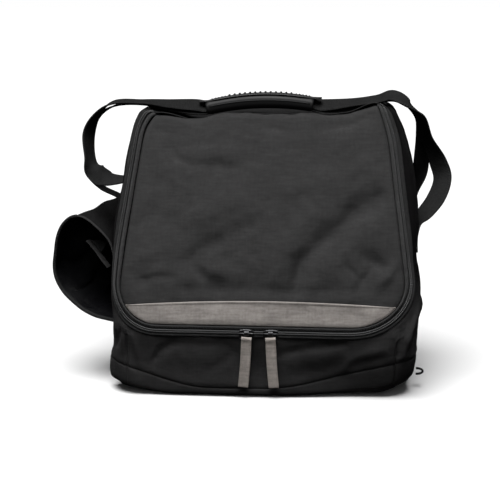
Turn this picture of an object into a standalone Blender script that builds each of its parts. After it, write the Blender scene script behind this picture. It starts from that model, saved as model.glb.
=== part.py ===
"""A soft, wedge-shaped carry bag with a zipped front flap, a rubber grip on webbing and a side pouch.

Metres, +Z up. The origin is the middle of the flat underside, the flap faces -Y and the
pouch is on the bag's -X side. Every sewn panel is its own closed piece.
"""

import math

import bmesh
import bpy
from mathutils import Matrix, Vector

# Driving dimensions of the bag
BASE_WIDTH = 0.374
TOP_WIDTH = 0.322
BASE_DEPTH = 0.220
TOP_DEPTH = 0.110
HEIGHT = 0.336
TOP_SAG = 0.012  # how far the top panel hangs between its corners
TAPER_FROM = 0.170  # the sides lean in above this height
TAPER_POWER = 2.6
FRONT_BULGE = 0.006
BAND_HEIGHT = 0.026

CLOTH = 0.003  # outer fabric with its backing
FOAM = 0.004
GAP = 0.0004  # between pieces that are sewn together

# The zip runs up one side of the front, round two lower corners and down the other side
ZIP_HEIGHT = 0.075
ZIP_CORNER = 0.050
ZIP_TOP = HEIGHT - 0.009
CORNER_STEPS = 8
SIDE_STEPS = 9
EDGE_INSET = 0.006  # from the side of the bag to the outer edge of the zip
BODY_TAPE = (0.0003, 0.0033)  # each pair is a strip's distance from the outer edge of the zip
BODY_COIL = (0.0036, 0.0053)
FLAP_COIL = (0.0056, 0.0073)
FLAP_TAPE = (0.0076, 0.0100)
FLAP_PIPING = (0.0103, 0.0147)
FLAP_EDGE = 0.0150
FLAP_ZIP = ("flap_zip_coil", "flap_zip_tape")
HINGE = (0.0, -0.001, 0.331)  # a point on the line about which the flap folds up

# The contrasting crescent along the flap's lower edge
TRIM_INSET = 0.0260  # from the side of the bag to each pointed end
TRIM_HEIGHT = 0.0300  # at its middle
TRIM_CORNER_RISE = 0.0230  # how far its lower edge climbs to the ends
TRIM_TOP_FALL = 0.0060  # how far its upper edge drops to the ends

# Zip sliders and their webbing pulls
SLIDER_LENGTH = 0.017
SLIDER_HEIGHT = 0.0088
SLIDERS_MEET = -0.002
SLIDER_PLACE = 0.0143  # from where they meet to the middle of each slider
PULL_WIDTH = 0.0124
PULL_LENGTH = 0.060
PULL_THICK = 0.0026
PULL_SPLAY = math.radians(3.9)
LINK_WIRE = 0.0007
LINK_DROP = 0.0068
LINK_MARGIN = 0.0024  # from the webbing's edge to the middle of the link's side

# Grip and webbing
GRIP_X = -0.012
GRIP_Y = 0.045
GRIP_LENGTH = 0.135
GRIP_PAD_LENGTH = 0.158
GRIP_WIDTH = 0.030
GRIP_END_Z = 0.3345  # middle of the grip's ends
GRIP_ARCH = 0.0085
GRIP_END_HEIGHT = 0.013
GRIP_MIDDLE_HEIGHT = 0.020
WEBBING_WIDTH = 0.025
WEBBING_THICK = 0.0018
WEBBING_STACK = 0.0016  # each webbing's distance from the middle of the grip's channel
RIBS = 13
RIB_PITCH = 0.0066

# Side pouch
POUCH_WALL = 0.0025
POUCH_FACE = BASE_WIDTH / 2 + 0.0012  # the pouch's flat side, against the gusset
POUCH_RIM = [  # (reach from the gusset, y, z) round the mouth, starting at the gusset
    (0.000, -0.065, 0.160),
    (0.004, -0.062, 0.177),
    (0.011, -0.060, 0.188),
    (0.023, -0.055, 0.200),
    (0.038, -0.050, 0.208),
    (0.052, -0.046, 0.204),
    (0.062, -0.045, 0.193),
    (0.071, -0.045, 0.165),
    (0.075, -0.045, 0.141),
    (0.065, -0.050, 0.110),
    (0.037, -0.060, 0.089),
    (0.020, -0.065, 0.083),
    (0.000, -0.068, 0.078),
]
POUCH_BACK = [(0.000, -0.068, 0.104), (0.000, -0.066, 0.132)]  # closes the ring along the gusset
POUCH_MIDDLE = (0.034, -0.054, 0.142)
POUCH_TAIL = (0.006, 0.050, 0.190)  # where the pouch closes at its rear

BLACK_CLOTH = (0.020, 0.020, 0.022, 1.0)
BLACK_TRIM = (0.012, 0.012, 0.013, 1.0)
CHARCOAL = (0.045, 0.045, 0.048, 1.0)
WARM_GREY = (0.235, 0.210, 0.190, 1.0)
FOAM_GREY = (0.100, 0.100, 0.105, 1.0)


def named(*names):
    return [bpy.data.objects[name] for name in names]


def hang(name, place, pieces):
    """Parents moving pieces to an empty on their joint's axis, without shifting them."""
    pivot = bpy.data.objects.new(name, None)
    pivot.location = place
    bpy.context.collection.objects.link(pivot)
    for piece in pieces:
        piece.parent = pivot
        piece.matrix_parent_inverse = Matrix.Translation(-Vector(place))


def clear_scene():
    for obj in list(bpy.data.objects):
        bpy.data.objects.remove(obj, do_unlink=True)


def material(name, colour, roughness, metallic=0.0):
    made = bpy.data.materials.new(name)
    made.use_nodes = True
    shader = made.node_tree.nodes["Principled BSDF"]
    shader.inputs["Base Color"].default_value = colour
    shader.inputs["Roughness"].default_value = roughness
    shader.inputs["Metallic"].default_value = metallic
    return made


# --- the bag's shape ---------------------------------------------------------------


def half_width(z):
    share = max(0.0, (z - TAPER_FROM) / (HEIGHT - TAPER_FROM))
    return BASE_WIDTH / 2 - (BASE_WIDTH - TOP_WIDTH) / 2 * share**TAPER_POWER


def front_y(z):
    """The front face: it bulges up to the zip, then leans back to the top panel."""
    low = -BASE_DEPTH / 2
    if z <= ZIP_HEIGHT:
        share = max(0.0, z / ZIP_HEIGHT)
        return low - FRONT_BULGE * share * share * (3 - 2 * share)
    share = (z - ZIP_HEIGHT) / (HEIGHT - ZIP_HEIGHT)
    low -= FRONT_BULGE
    return low + (BASE_DEPTH / 2 - TOP_DEPTH - low) * share**1.35


def top_z(x):
    return HEIGHT - TOP_SAG * (1 - (x / (TOP_WIDTH / 2)) ** 2)


def zip_limit(z, inset):
    """Half the width of the front opening at a height, moved in by inset from the zip's outer edge."""
    straight = half_width(z) - EDGE_INSET
    rise = ZIP_CORNER - (z - ZIP_HEIGHT)
    if rise <= 0:
        return straight - inset
    radius = ZIP_CORNER - inset
    return straight - ZIP_CORNER + math.sqrt(max(0.0, radius**2 - rise**2))


def zip_levels():
    """The heights at which the zip's path and its neighbours have points, above its bottom run."""
    corner_z = ZIP_HEIGHT + ZIP_CORNER
    turns = [math.pi / 2 * step / CORNER_STEPS for step in range(1, CORNER_STEPS + 1)]
    return [corner_z - ZIP_CORNER * math.cos(t) for t in turns] + spread(corner_z, ZIP_TOP, SIDE_STEPS)[1:]


# --- making meshes -----------------------------------------------------------------


def finish_mesh(name, mesh, look, smooth=True):
    bmesh.ops.recalc_face_normals(mesh, faces=mesh.faces)
    data = bpy.data.meshes.new(name)
    mesh.to_mesh(data)
    mesh.free()
    if smooth:
        data.shade_smooth()
        data.set_sharp_from_angle(angle=math.radians(35))
    data.materials.append(look)
    obj = bpy.data.objects.new(name, data)
    bpy.context.collection.objects.link(obj)
    return obj


def slab(name, outer, inner, look):
    """A closed panel between two grids of points of the same size."""
    mesh = bmesh.new()
    rows, columns = len(outer), len(outer[0])
    sides = [[[mesh.verts.new(p) for p in row] for row in grid] for grid in (outer, inner)]
    for side in sides:
        for i in range(rows - 1):
            for j in range(columns - 1):
                mesh.faces.new((side[i][j], side[i + 1][j], side[i + 1][j + 1], side[i][j + 1]))
    border = [(i, 0) for i in range(rows)]
    border += [(rows - 1, j) for j in range(1, columns)]
    border += [(i, columns - 1) for i in range(rows - 2, -1, -1)]
    border += [(0, j) for j in range(columns - 2, 0, -1)]
    for (i, j), (k, m) in zip(border, border[1:] + border[:1]):
        mesh.faces.new((sides[0][i][j], sides[0][k][m], sides[1][k][m], sides[1][i][j]))
    return finish_mesh(name, mesh, look)


def rings_solid(name, rings, look, cyclic=False, smooth=True):
    """Rings of points joined in turn; the ends are capped unless the last ring meets the first."""
    mesh = bmesh.new()
    loops = [[mesh.verts.new(p) for p in ring] for ring in rings]
    pairs = list(zip(loops, loops[1:]))
    if cyclic:
        pairs.append((loops[-1], loops[0]))
    count = len(loops[0])
    for first, second in pairs:
        for i in range(count):
            k = (i + 1) % count
            mesh.faces.new((first[i], first[k], second[k], second[i]))
    if not cyclic:
        mesh.faces.new(loops[0])
        mesh.faces.new(loops[-1])
    return finish_mesh(name, mesh, look, smooth)


def spread(low, high, count):
    return [low + (high - low) * i / (count - 1) for i in range(count)]


def blended(p, q, r, s, t):
    """A value on the smooth curve through q and r, a share t of the way between them."""
    square = 2 * p - 5 * q + 4 * r - s
    cube = 3 * q - p - 3 * r + s
    return 0.5 * (2 * q + (r - p) * t + square * t**2 + cube * t**3)


def curve_points(route, per_span):
    """Points on a smooth curve through the route; each entry may hold any number of values."""
    ends = [route[0]] + list(route) + [route[-1]]
    found = []
    for i in range(1, len(ends) - 2):
        a, b, c, d = (ends[i + k] for k in (-1, 0, 1, 2))
        for step in range(per_span):
            t = step / per_span
            found.append([blended(p, q, r, s, t) for p, q, r, s in zip(a, b, c, d)])
    found.append(list(route[-1]))
    return found


def ribbon(name, route, width, thick, look, per_span=3):
    """Flat webbing. Each entry of the route is its middle and the direction of its width."""
    stations = curve_points([tuple(p) + tuple(w) for p, w in route], per_span)
    places = [Vector(s[:3]) for s in stations]
    rings = []
    for i, station in enumerate(stations):
        along = places[min(i + 1, len(places) - 1)] - places[max(i - 1, 0)]
        along.normalize()
        across = Vector(station[3:])
        across = (across - along * across.dot(along)).normalized() * width / 2
        normal = along.cross(across).normalized() * thick / 2
        edges = (across + normal, normal - across, -across - normal, across - normal)
        rings.append([places[i] + edge for edge in edges])
    return rings_solid(name, rings, look, smooth=False)


def tube(name, points, radius, look, sides=8, cyclic=False):
    """A round wire or cord along points that don't turn sharply."""
    points = [Vector(p) for p in points]
    count = len(points)
    rings = []
    normal = None
    for i, place in enumerate(points):
        if cyclic:
            along = points[(i + 1) % count] - points[i - 1]
        else:
            along = points[min(i + 1, count - 1)] - points[max(i - 1, 0)]
        along.normalize()
        if normal is None:
            normal = along.orthogonal().normalized()
        normal = (normal - along * normal.dot(along)).normalized()
        side = along.cross(normal)
        turns = [2 * math.pi * k / sides for k in range(sides)]
        rings.append([place + (normal * math.cos(t) + side * math.sin(t)) * radius for t in turns])
    return rings_solid(name, rings, look, cyclic=cyclic)


def rounded_outline(half_x, half_y, radius, segments=6):
    found = []
    for quarter, (sign_x, sign_y) in enumerate(((1, 1), (-1, 1), (-1, -1), (1, -1))):
        for step in range(segments + 1):
            turn = math.pi / 2 * (quarter + step / segments)
            x = sign_x * (half_x - radius) + radius * math.cos(turn)
            y = sign_y * (half_y - radius) + radius * math.sin(turn)
            found.append((x, y))
    return found


def drill(obj, centre, radius, length, name):
    """A round hole along X."""
    rings = []
    for x in (-length / 2, length / 2):
        turns = [2 * math.pi * k / 12 for k in range(12)]
        rings.append([centre + Vector((x, radius * math.cos(t), radius * math.sin(t))) for t in turns])
    cutter = rings_solid(name, rings, obj.data.materials[0])
    cutter.hide_render = True
    cutter.display_type = "WIRE"
    cut = obj.modifiers.new("hole", "BOOLEAN")
    cut.operation = "DIFFERENCE"
    cut.object = cutter


# --- base and walls ----------------------------------------------------------------


def base_parts(cloth, board):
    outline = rounded_outline(BASE_WIDTH / 2 - 0.001, BASE_DEPTH / 2 - 0.001, 0.028)
    rings = [[(x, y, z) for x, y in outline] for z in (0.0, CLOTH)]
    rings_solid("bottom_panel", rings, cloth, smooth=False)

    low, high = CLOTH + GAP, BAND_HEIGHT
    outer = rounded_outline(BASE_WIDTH / 2, BASE_DEPTH / 2, 0.029)
    inner = rounded_outline(BASE_WIDTH / 2 - CLOTH, BASE_DEPTH / 2 - CLOTH, 0.026)
    section = ((outer, low), (outer, high), (inner, high), (inner, low))
    rings = [[(x, y, z) for x, y in path] for path, z in section]
    rings_solid("base_band", rings, cloth, cyclic=True)

    inset = CLOTH + 2 * GAP
    outline = rounded_outline(BASE_WIDTH / 2 - inset, BASE_DEPTH / 2 - inset, 0.025)
    low = CLOTH + GAP
    rings = [[(x, y, z) for x, y in outline] for z in (low, low + 0.003)]
    rings_solid("floor_board", rings, board, smooth=False)


def front_wall(cloth, foam):
    heights = spread(BAND_HEIGHT + GAP, ZIP_HEIGHT - GAP, 5)
    reach = BASE_WIDTH / 2 - EDGE_INSET - ZIP_CORNER - GAP
    across = spread(-reach, reach, 7)
    outer = [[(x, front_y(z), z) for x in across] for z in heights]
    inner = [[(x, front_y(z) + CLOTH, z) for x in across] for z in heights]
    slab("front_wall", outer, inner, cloth)
    across = spread(-reach + 0.01, reach - 0.01, 7)
    heights = spread(0.012, ZIP_HEIGHT - 0.006, 4)
    depth = CLOTH + GAP
    outer = [[(x, -BASE_DEPTH / 2 + depth, z) for x in across] for z in heights]
    inner = [[(x, y + FOAM, z) for x, y, z in row] for row in outer]
    slab("front_foam", outer, inner, foam)


def gusset_section(z, depth):
    """The right-hand side's path at a height, from the front seam round to the back seam."""
    inset = half_width(z) - zip_limit(z, 0.0) if z > ZIP_HEIGHT else EDGE_INSET + ZIP_CORNER
    edge = half_width(z) - inset
    radius = max(0.0008, min(0.028, inset) - depth)
    side = half_width(z) - depth
    front = front_y(z) + depth
    back = BASE_DEPTH / 2 - depth
    rear = 0.020 - depth
    path = [(edge, front)]
    for step in range(5):
        turn = math.pi / 2 * step / 4
        path.append((side - radius + radius * math.sin(turn), front + radius - radius * math.cos(turn)))
    for y in spread(front + radius, back - rear, 5)[1:-1]:
        path.append((side, y))
    for step in range(5):
        turn = math.pi / 2 * step / 4
        path.append((side - rear + rear * math.cos(turn), back - rear + rear * math.sin(turn)))
    return path


def gussets(cloth, foam):
    under = CLOTH + GAP
    heights = spread(BAND_HEIGHT + GAP, ZIP_HEIGHT, 3) + zip_levels() + [HEIGHT - under]
    for side, name in ((-1, "left"), (1, "right")):
        grids = []
        for depth in (0.0, CLOTH):
            rows = []
            for z in heights:
                rows.append([(side * x, y, min(z, top_z(x) - under)) for x, y in gusset_section(z, depth)])
            grids.append(rows)
        slab(name + "_gusset", grids[0], grids[1], cloth)
        levels = spread(0.030, HEIGHT - 0.030, 7)
        foams = []
        for depth in (CLOTH + GAP, CLOTH + GAP + FOAM):
            grid = []
            for z in levels:
                ends = spread(front_y(z) + 0.035, BASE_DEPTH / 2 - 0.025, 5)
                grid.append([(side * (half_width(z) - depth), y, z) for y in ends])
            foams.append(grid)
        slab(name + "_foam", foams[0], foams[1], foam)


def back_parts(cloth, board):
    top = HEIGHT - CLOTH - TOP_SAG - GAP
    heights = spread(BAND_HEIGHT + GAP, top, 6)
    grids = []
    for y in (BASE_DEPTH / 2, BASE_DEPTH / 2 - CLOTH):
        rows = []
        for z in heights:
            reach = half_width(z) - 0.020 - GAP
            rows.append([(x, y, z) for x in spread(-reach, reach, 7)])
        grids.append(rows)
    slab("back_panel", grids[0], grids[1], cloth)

    face = BASE_DEPTH / 2 - CLOTH - GAP
    grids = []
    for y in (face, face - 0.003):
        rows = []
        for z in spread(0.012, HEIGHT - 0.025, 4):
            reach = half_width(z) - 0.030
            rows.append([(x, y, z) for x in spread(-reach, reach, 5)])
        grids.append(rows)
    slab("back_board", grids[0], grids[1], board)


def top_panel(cloth):
    front = BASE_DEPTH / 2 - TOP_DEPTH + 0.0015
    back = BASE_DEPTH / 2
    reach = TOP_WIDTH / 2
    grids = []
    across = spread(-reach, reach, 13)
    for drop in (0.0, CLOTH):
        grids.append([[(x, y, top_z(x) - drop) for x in across] for y in spread(front, back, 4)])
    slab("top_panel", grids[0], grids[1], cloth)


# --- zip and flap ------------------------------------------------------------------


def zip_path(inset):
    """Points (x, z) down the left side, round both lower corners and up the right side."""
    radius = ZIP_CORNER - inset
    corner_z = ZIP_HEIGHT + ZIP_CORNER
    corner_x = half_width(corner_z) - EDGE_INSET - ZIP_CORNER
    right = [(x, ZIP_HEIGHT + inset) for x in spread(0.0, corner_x, 4)]
    for step in range(1, CORNER_STEPS + 1):
        turn = math.pi / 2 * step / CORNER_STEPS
        right.append((corner_x + radius * math.sin(turn), corner_z - radius * math.cos(turn)))
    for z in spread(corner_z, ZIP_TOP, SIDE_STEPS)[1:]:
        right.append((half_width(z) - EDGE_INSET - inset, z))
    left = [(-x, z) for x, z in reversed(right[1:])]
    return left + right


def zip_strip(name, insets, depths, look):
    """A strip along the zip between two insets, and between two depths behind the front face."""
    near, far = (zip_path(inset) for inset in insets)
    rings = []
    for (x0, z0), (x1, z1) in zip(near, far):
        ring = [(x, front_y(z) + depth, z) for x, z, depth in (
            (x0, z0, depths[0]),
            (x1, z1, depths[0]),
            (x1, z1, depths[1]),
            (x0, z0, depths[1]),
        )]
        rings.append(ring)
    rings_solid(name, rings, look, smooth=False)


def flap_point(x, z, depth):
    """A point of the closed flap, which hangs with the top panel between the bag's upper corners."""
    share = (z - ZIP_HEIGHT) / (HEIGHT - ZIP_HEIGHT)
    return (x, front_y(z) + depth, z - (HEIGHT - top_z(x)) * share**8)


def flap_parts(cloth, foam, trim, piping):
    low = ZIP_HEIGHT + FLAP_EDGE
    radius = ZIP_CORNER - FLAP_EDGE
    heights = [low + radius * share for share in (0.0, 0.15, 0.5)]
    heights += spread(low + radius, HEIGHT - 0.005, 9)
    grids = []
    for depth in (-0.0004, CLOTH - 0.0008):
        rows = []
        for z in heights:
            reach = zip_limit(z, FLAP_EDGE)
            rows.append([flap_point(x, z, depth) for x in spread(-reach, reach, 13)])
        grids.append(rows)
    slab("flap_panel", grids[0], grids[1], cloth)

    grids = []
    for depth in (CLOTH + 0.0006, CLOTH + 0.0006 + FOAM):
        rows = []
        for z in heights[4:-1]:
            reach = half_width(z) - 0.045
            rows.append([flap_point(x, z, depth) for x in spread(-reach, reach, 9)])
        grids.append(rows)
    slab("flap_foam", grids[0], grids[1], foam)

    flap_trim(trim)
    zip_strip("flap_piping", FLAP_PIPING, (-0.0020, 0.0012), piping)


def flap_trim(trim):
    """A crescent of contrasting cloth along the flap's lower edge, pointed at both ends."""
    reach = BASE_WIDTH / 2 - TRIM_INSET
    low = ZIP_HEIGHT + FLAP_EDGE + 0.0005
    grids = []
    for depth in (-0.0016, -0.0008):
        rows = []
        for share in (0.0, 0.35, 0.7, 1.0):
            row = []
            for x in spread(-reach, reach, 17):
                run = abs(x) / reach
                bottom = low + TRIM_CORNER_RISE * run**6
                top = low + TRIM_HEIGHT - TRIM_TOP_FALL * run**3
                z = bottom + (top - bottom) * share
                row.append((x, front_y(z) + depth, z))
            rows.append(row)
        grids.append(rows)
    slab("flap_trim", grids[0], grids[1], trim)


def zips(tape, coil):
    zip_strip("body_zip_tape", BODY_TAPE, (0.0, 0.0012), tape)
    zip_strip("body_zip_coil", BODY_COIL, (-0.0012, 0.0010), coil)
    zip_strip("flap_zip_coil", FLAP_COIL, (-0.0012, 0.0010), coil)
    zip_strip("flap_zip_tape", FLAP_TAPE, (-0.0002, 0.0010), tape)


def slider(name, side, metal):
    """A slider body with a bridge on its front; the pull's link passes through the bridge along X."""
    x = SLIDERS_MEET + side * SLIDER_PLACE
    middle = ZIP_HEIGHT + (BODY_COIL[1] + FLAP_COIL[0]) / 2
    back = front_y(middle) - 0.0016
    half_x, half_z = SLIDER_LENGTH / 2, SLIDER_HEIGHT / 2
    plan = [(-half_x, 0.55), (-half_x * 0.7, 0.85), (-half_x * 0.2, 1.0), (half_x * 0.4, 1.0), (half_x, 0.8)]
    outline = [(side * px, pz * half_z) for px, pz in plan]
    outline += [(side * px, -pz * half_z) for px, pz in reversed(plan)]
    rings = []
    for depth, scale in ((0.0, 1.0), (-0.0014, 1.0), (-0.0021, 0.86)):
        rings.append([(x + px * scale, back + depth, middle + pz * scale) for px, pz in outline])
    body = rings_solid(name, rings, metal)
    arch = []
    for share in spread(0.0, 1.0, 7):
        turn = math.pi * share
        arch.append((0.0029 * math.sin(turn), 0.0031 * math.cos(turn)))
    profile = [(0.0, 0.0031)] + arch[1:-1] + [(0.0, -0.0031), (-0.0008, -0.0031), (-0.0008, 0.0031)]
    rings = []
    for px in (-0.0026, 0.0026):
        rings.append([(x + px, back - 0.0020 - py, middle + pz) for py, pz in profile])
    bridge = rings_solid(name + "_bridge", rings, metal, smooth=False)
    bridge.hide_render = True
    bridge.display_type = "WIRE"
    join = body.modifiers.new("bridge", "BOOLEAN")
    join.operation = "UNION"
    join.object = bridge
    drill(body, Vector((x, back - 0.0034, middle)), 0.0011, 0.02, name + "_eye")
    return Vector((x, back - 0.0034, middle))


def pull(side, pivot, metal, webbing):
    """A wire link through the slider's bridge, with a folded webbing tab sewn round its lower bar."""
    name = "left" if side < 0 else "right"
    half = PULL_WIDTH / 2 + LINK_MARGIN
    low = -LINK_DROP
    corner = 0.0012
    outline = []
    for cx, cz, start in ((half, low, -90), (half, 0.0, 0), (-half, 0.0, 90), (-half, low, 180)):
        sign_x = 1 if cx > 0 else -1
        sign_z = 1 if cz == 0.0 else -1
        for step in range(4):
            turn = math.radians(start + 30 * step)
            px = cx - sign_x * corner + corner * math.cos(turn)
            pz = cz - sign_z * corner + corner * math.sin(turn)
            outline.append((px, 0.0, pz))
    link = [pivot + Vector(p) for p in outline]
    tube(name + "_pull_link", link, LINK_WIRE, metal, sides=8, cyclic=True)

    bar = pivot + Vector((0.0, 0.0, low))
    half_t = PULL_THICK / 2
    profile = []
    for step in range(7):
        turn = math.radians(-30 + 40 * step)
        profile.append((0.0024 * math.cos(turn), 0.0024 * math.sin(turn)))
    profile += [(-half_t, -0.0042), (-half_t, -PULL_LENGTH), (half_t, -PULL_LENGTH), (half_t, -0.0042)]
    lean = side * math.tan(PULL_SPLAY)
    rings = []
    for px in spread(-PULL_WIDTH / 2, PULL_WIDTH / 2, 3):
        rings.append([bar + Vector((px - lean * pz, py, pz)) for py, pz in profile])
    tab = rings_solid(name + "_pull_tab", rings, webbing, smooth=False)
    drill(tab, bar, 0.0012, 0.03, name + "_tab_eye")
    hang(name + "_pull_pivot", pivot, named(name + "_pull_link", name + "_pull_tab", name + "_tab_eye"))


# --- grip and webbing --------------------------------------------------------------


def grip_z(x):
    return GRIP_END_Z + GRIP_ARCH * (1 - (x / (GRIP_LENGTH / 2)) ** 2)


def grip_body(rubber):
    """An arched tube: the two webbings run through the flat channel inside it."""
    outer, inner = [], []
    for x in spread(-GRIP_LENGTH / 2, GRIP_LENGTH / 2, 13):
        share = 1 - (x / (GRIP_LENGTH / 2)) ** 2
        half_z = (GRIP_END_HEIGHT + (GRIP_MIDDLE_HEIGHT - GRIP_END_HEIGHT) * share) / 2
        shape = rounded_outline(GRIP_WIDTH / 2, half_z, 0.0055, 3)
        slot = rounded_outline(WEBBING_WIDTH / 2 + 0.0006, 0.0036, 0.0010, 3)
        outer.append([(GRIP_X + x, GRIP_Y + y, grip_z(x) + z) for y, z in shape])
        inner.append([(GRIP_X + x, GRIP_Y + y, grip_z(x) + z) for y, z in slot])
    rings_solid("grip_body", outer + inner[::-1], rubber, cyclic=True)


def grip_pad(rubber):
    """A thin top plate with pointed ends and a row of ribs across its middle."""
    half = GRIP_PAD_LENGTH / 2
    places = set(spread(-half, half, 15))
    first = -(RIBS - 1) / 2 * RIB_PITCH
    for rib in range(RIBS):
        for shift in (-0.3, -0.15, 0.15, 0.3):
            places.add(first + (rib + shift) * RIB_PITCH)
    rings = []
    for x in sorted(places):
        near = min(1.0, (half - abs(x)) / 0.030)
        reach = 0.004 + 0.009 * math.sin(math.pi / 2 * near)
        inside = min(abs(x), GRIP_LENGTH / 2)
        share = 1 - (inside / (GRIP_LENGTH / 2)) ** 2
        half_z = (GRIP_END_HEIGHT + (GRIP_MIDDLE_HEIGHT - GRIP_END_HEIGHT) * share) / 2
        low = grip_z(inside) + half_z + GAP
        rib = (x - first) / RIB_PITCH
        raised = abs(rib - round(rib)) < 0.2 and -0.5 < rib < RIBS - 0.5
        high = low + (0.0030 if raised else 0.0016)
        section = ((-reach, low), (reach, low), (reach * 0.8, high), (-reach * 0.8, high))
        rings.append([(GRIP_X + x, GRIP_Y + y, z) for y, z in section])
    rings_solid("grip_pad", rings, rubber, smooth=False)


def sewn_end(side, y, z, clear=0.0009):
    """A point of webbing that lies flat on the side of the bag."""
    return ((side * (half_width(z) + WEBBING_THICK / 2 + clear), y, z), (0.0, -1.0, 0.0))


def webbings(webbing):
    """Two lengths of webbing, stacked inside the grip: one sewn at the front of each side, one behind."""
    inside = []
    for x in spread(-GRIP_LENGTH / 2 - 0.004, GRIP_LENGTH / 2 + 0.004, 7):
        inside.append((GRIP_X + x, GRIP_Y, grip_z(max(-GRIP_LENGTH / 2, min(x, GRIP_LENGTH / 2)))))
    front_left = [
        sewn_end(-1, -0.050, 0.208),
        sewn_end(-1, -0.046, 0.226, 0.0022),
        ((-0.1985, -0.038, 0.2410), (-0.2, -1.0, 0.2)),
        ((-0.2126, -0.028, 0.2490), (-0.5, -0.8, 0.2)),
        ((-0.2222, -0.018, 0.2613), (-0.6, -0.8, 0.0)),
        ((-0.2250, -0.010, 0.2753), (-0.6, -0.8, 0.0)),
        ((-0.2250, -0.002, 0.2932), (-0.4, -1.0, 0.0)),
        ((-0.2219, 0.006, 0.3100), (-0.3, -1.0, 0.0)),
        ((-0.2118, 0.015, 0.3270), (-0.2, -1.0, 0.1)),
        ((-0.1941, 0.024, 0.3380), (-0.1, -1.0, 0.1)),
        ((-0.1686, 0.032, 0.3430), (0.0, -1.0, 0.1)),
        ((-0.1401, 0.039, 0.3420), (0.0, -1.0, 0.1)),
        ((-0.1086, 0.044, 0.3385), (0.0, -1.0, 0.05)),
    ]
    front_right = [
        ((0.0832, 0.044, 0.3395), (0.0, -1.0, -0.1)),
        ((0.1146, 0.039, 0.3440), (0.0, -1.0, -0.2)),
        ((0.1407, 0.033, 0.3480), (0.0, -1.0, -0.2)),
        ((0.1615, 0.027, 0.3495), (-0.1, -1.0, -0.2)),
        ((0.1790, 0.019, 0.3420), (-0.2, -1.0, -0.1)),
        ((0.1905, 0.010, 0.3225), (-0.3, -1.0, 0.0)),
        ((0.1965, 0.002, 0.3040), (-0.3, -1.0, 0.0)),
        ((0.2020, -0.006, 0.2865), (-0.5, -0.9, 0.0)),
        ((0.2100, -0.014, 0.2680), (-0.8, -0.6, 0.0)),
        ((0.2141, -0.022, 0.2494), (-0.8, -0.6, 0.0)),
        ((0.2104, -0.030, 0.2334), (-0.6, -0.8, 0.0)),
        ((0.2015, -0.038, 0.2199), (-0.3, -1.0, 0.0)),
        ((0.1935, -0.045, 0.2050), (0.0, -1.0, 0.0)),
        sewn_end(1, -0.049, 0.188, 0.0018),
        sewn_end(1, -0.052, 0.162),
    ]
    rear_left = [
        sewn_end(-1, 0.054, 0.196),
        sewn_end(-1, 0.052, 0.216, 0.0022),
        ((-0.1970, 0.048, 0.2340), (0.0, -1.0, 0.0)),
        ((-0.2060, 0.043, 0.2480), (0.0, -1.0, 0.0)),
        ((-0.2120, 0.039, 0.2640), (0.1, -1.0, 0.0)),
        ((-0.2140, 0.036, 0.2820), (0.1, -1.0, 0.0)),
        ((-0.2120, 0.035, 0.3000), (0.1, -1.0, 0.0)),
        ((-0.2040, 0.036, 0.3180), (0.1, -1.0, 0.0)),
        ((-0.1900, 0.038, 0.3310), (0.0, -1.0, 0.0)),
        ((-0.1680, 0.041, 0.3390), (0.0, -1.0, 0.0)),
        ((-0.1401, 0.044, 0.3370), (0.0, -1.0, 0.0)),
        ((-0.1086, 0.045, 0.3335), (0.0, -1.0, 0.0)),
    ]
    rear_right = [
        ((0.0832, 0.045, 0.3340), (0.0, -1.0, 0.0)),
        ((0.1146, 0.044, 0.3375), (0.0, -1.0, 0.0)),
        ((0.1407, 0.043, 0.3415), (0.0, -1.0, 0.0)),
        ((0.1580, 0.043, 0.3420), (0.0, -1.0, 0.0)),
        ((0.1740, 0.045, 0.3340), (0.1, -1.0, 0.0)),
        ((0.1855, 0.050, 0.3130), (0.2, -1.0, 0.0)),
        ((0.1910, 0.056, 0.2900), (0.2, -1.0, 0.0)),
        ((0.1935, 0.062, 0.2650), (0.2, -1.0, 0.0)),
        ((0.1925, 0.067, 0.2430), (0.1, -1.0, 0.0)),
        sewn_end(1, 0.070, 0.222, 0.0022),
        sewn_end(1, 0.072, 0.200),
    ]
    lengths = (
        ("front_webbing", WEBBING_STACK, front_left, front_right),
        ("rear_webbing", -WEBBING_STACK, rear_left, rear_right),
    )
    for name, lift, left, right in lengths:
        middle = [((x, y, z + lift), (0.0, -1.0, 0.0)) for x, y, z in inside]
        ribbon(name, left + middle + right, WEBBING_WIDTH, WEBBING_THICK, webbing)


# --- side pouch and loop -----------------------------------------------------------


def pouch_ring(share, wall):
    """A ring of the pouch between its mouth and its tail, moved inwards by the wall."""
    middle = Vector(POUCH_MIDDLE)
    tail = Vector(POUCH_TAIL)
    shrink = math.sqrt(max(0.0, 1 - share**2.4))
    centre = middle.lerp(tail, share)
    ring = []
    for point in POUCH_RIM + POUCH_BACK:
        out = Vector(point) - middle
        placed = centre + out * shrink
        reach = max(0.0, placed.x)
        towards = Vector((centre.x, placed.y, centre.z)) - Vector((reach, placed.y, placed.z))
        if towards.length > 1e-6:
            towards.normalize()
        inner = Vector((reach, placed.y, placed.z)) + towards * wall
        inner.x = max(wall, inner.x) if wall else inner.x
        ring.append(Vector((-POUCH_FACE - inner.x, inner.y, inner.z)))
    return ring


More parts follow.
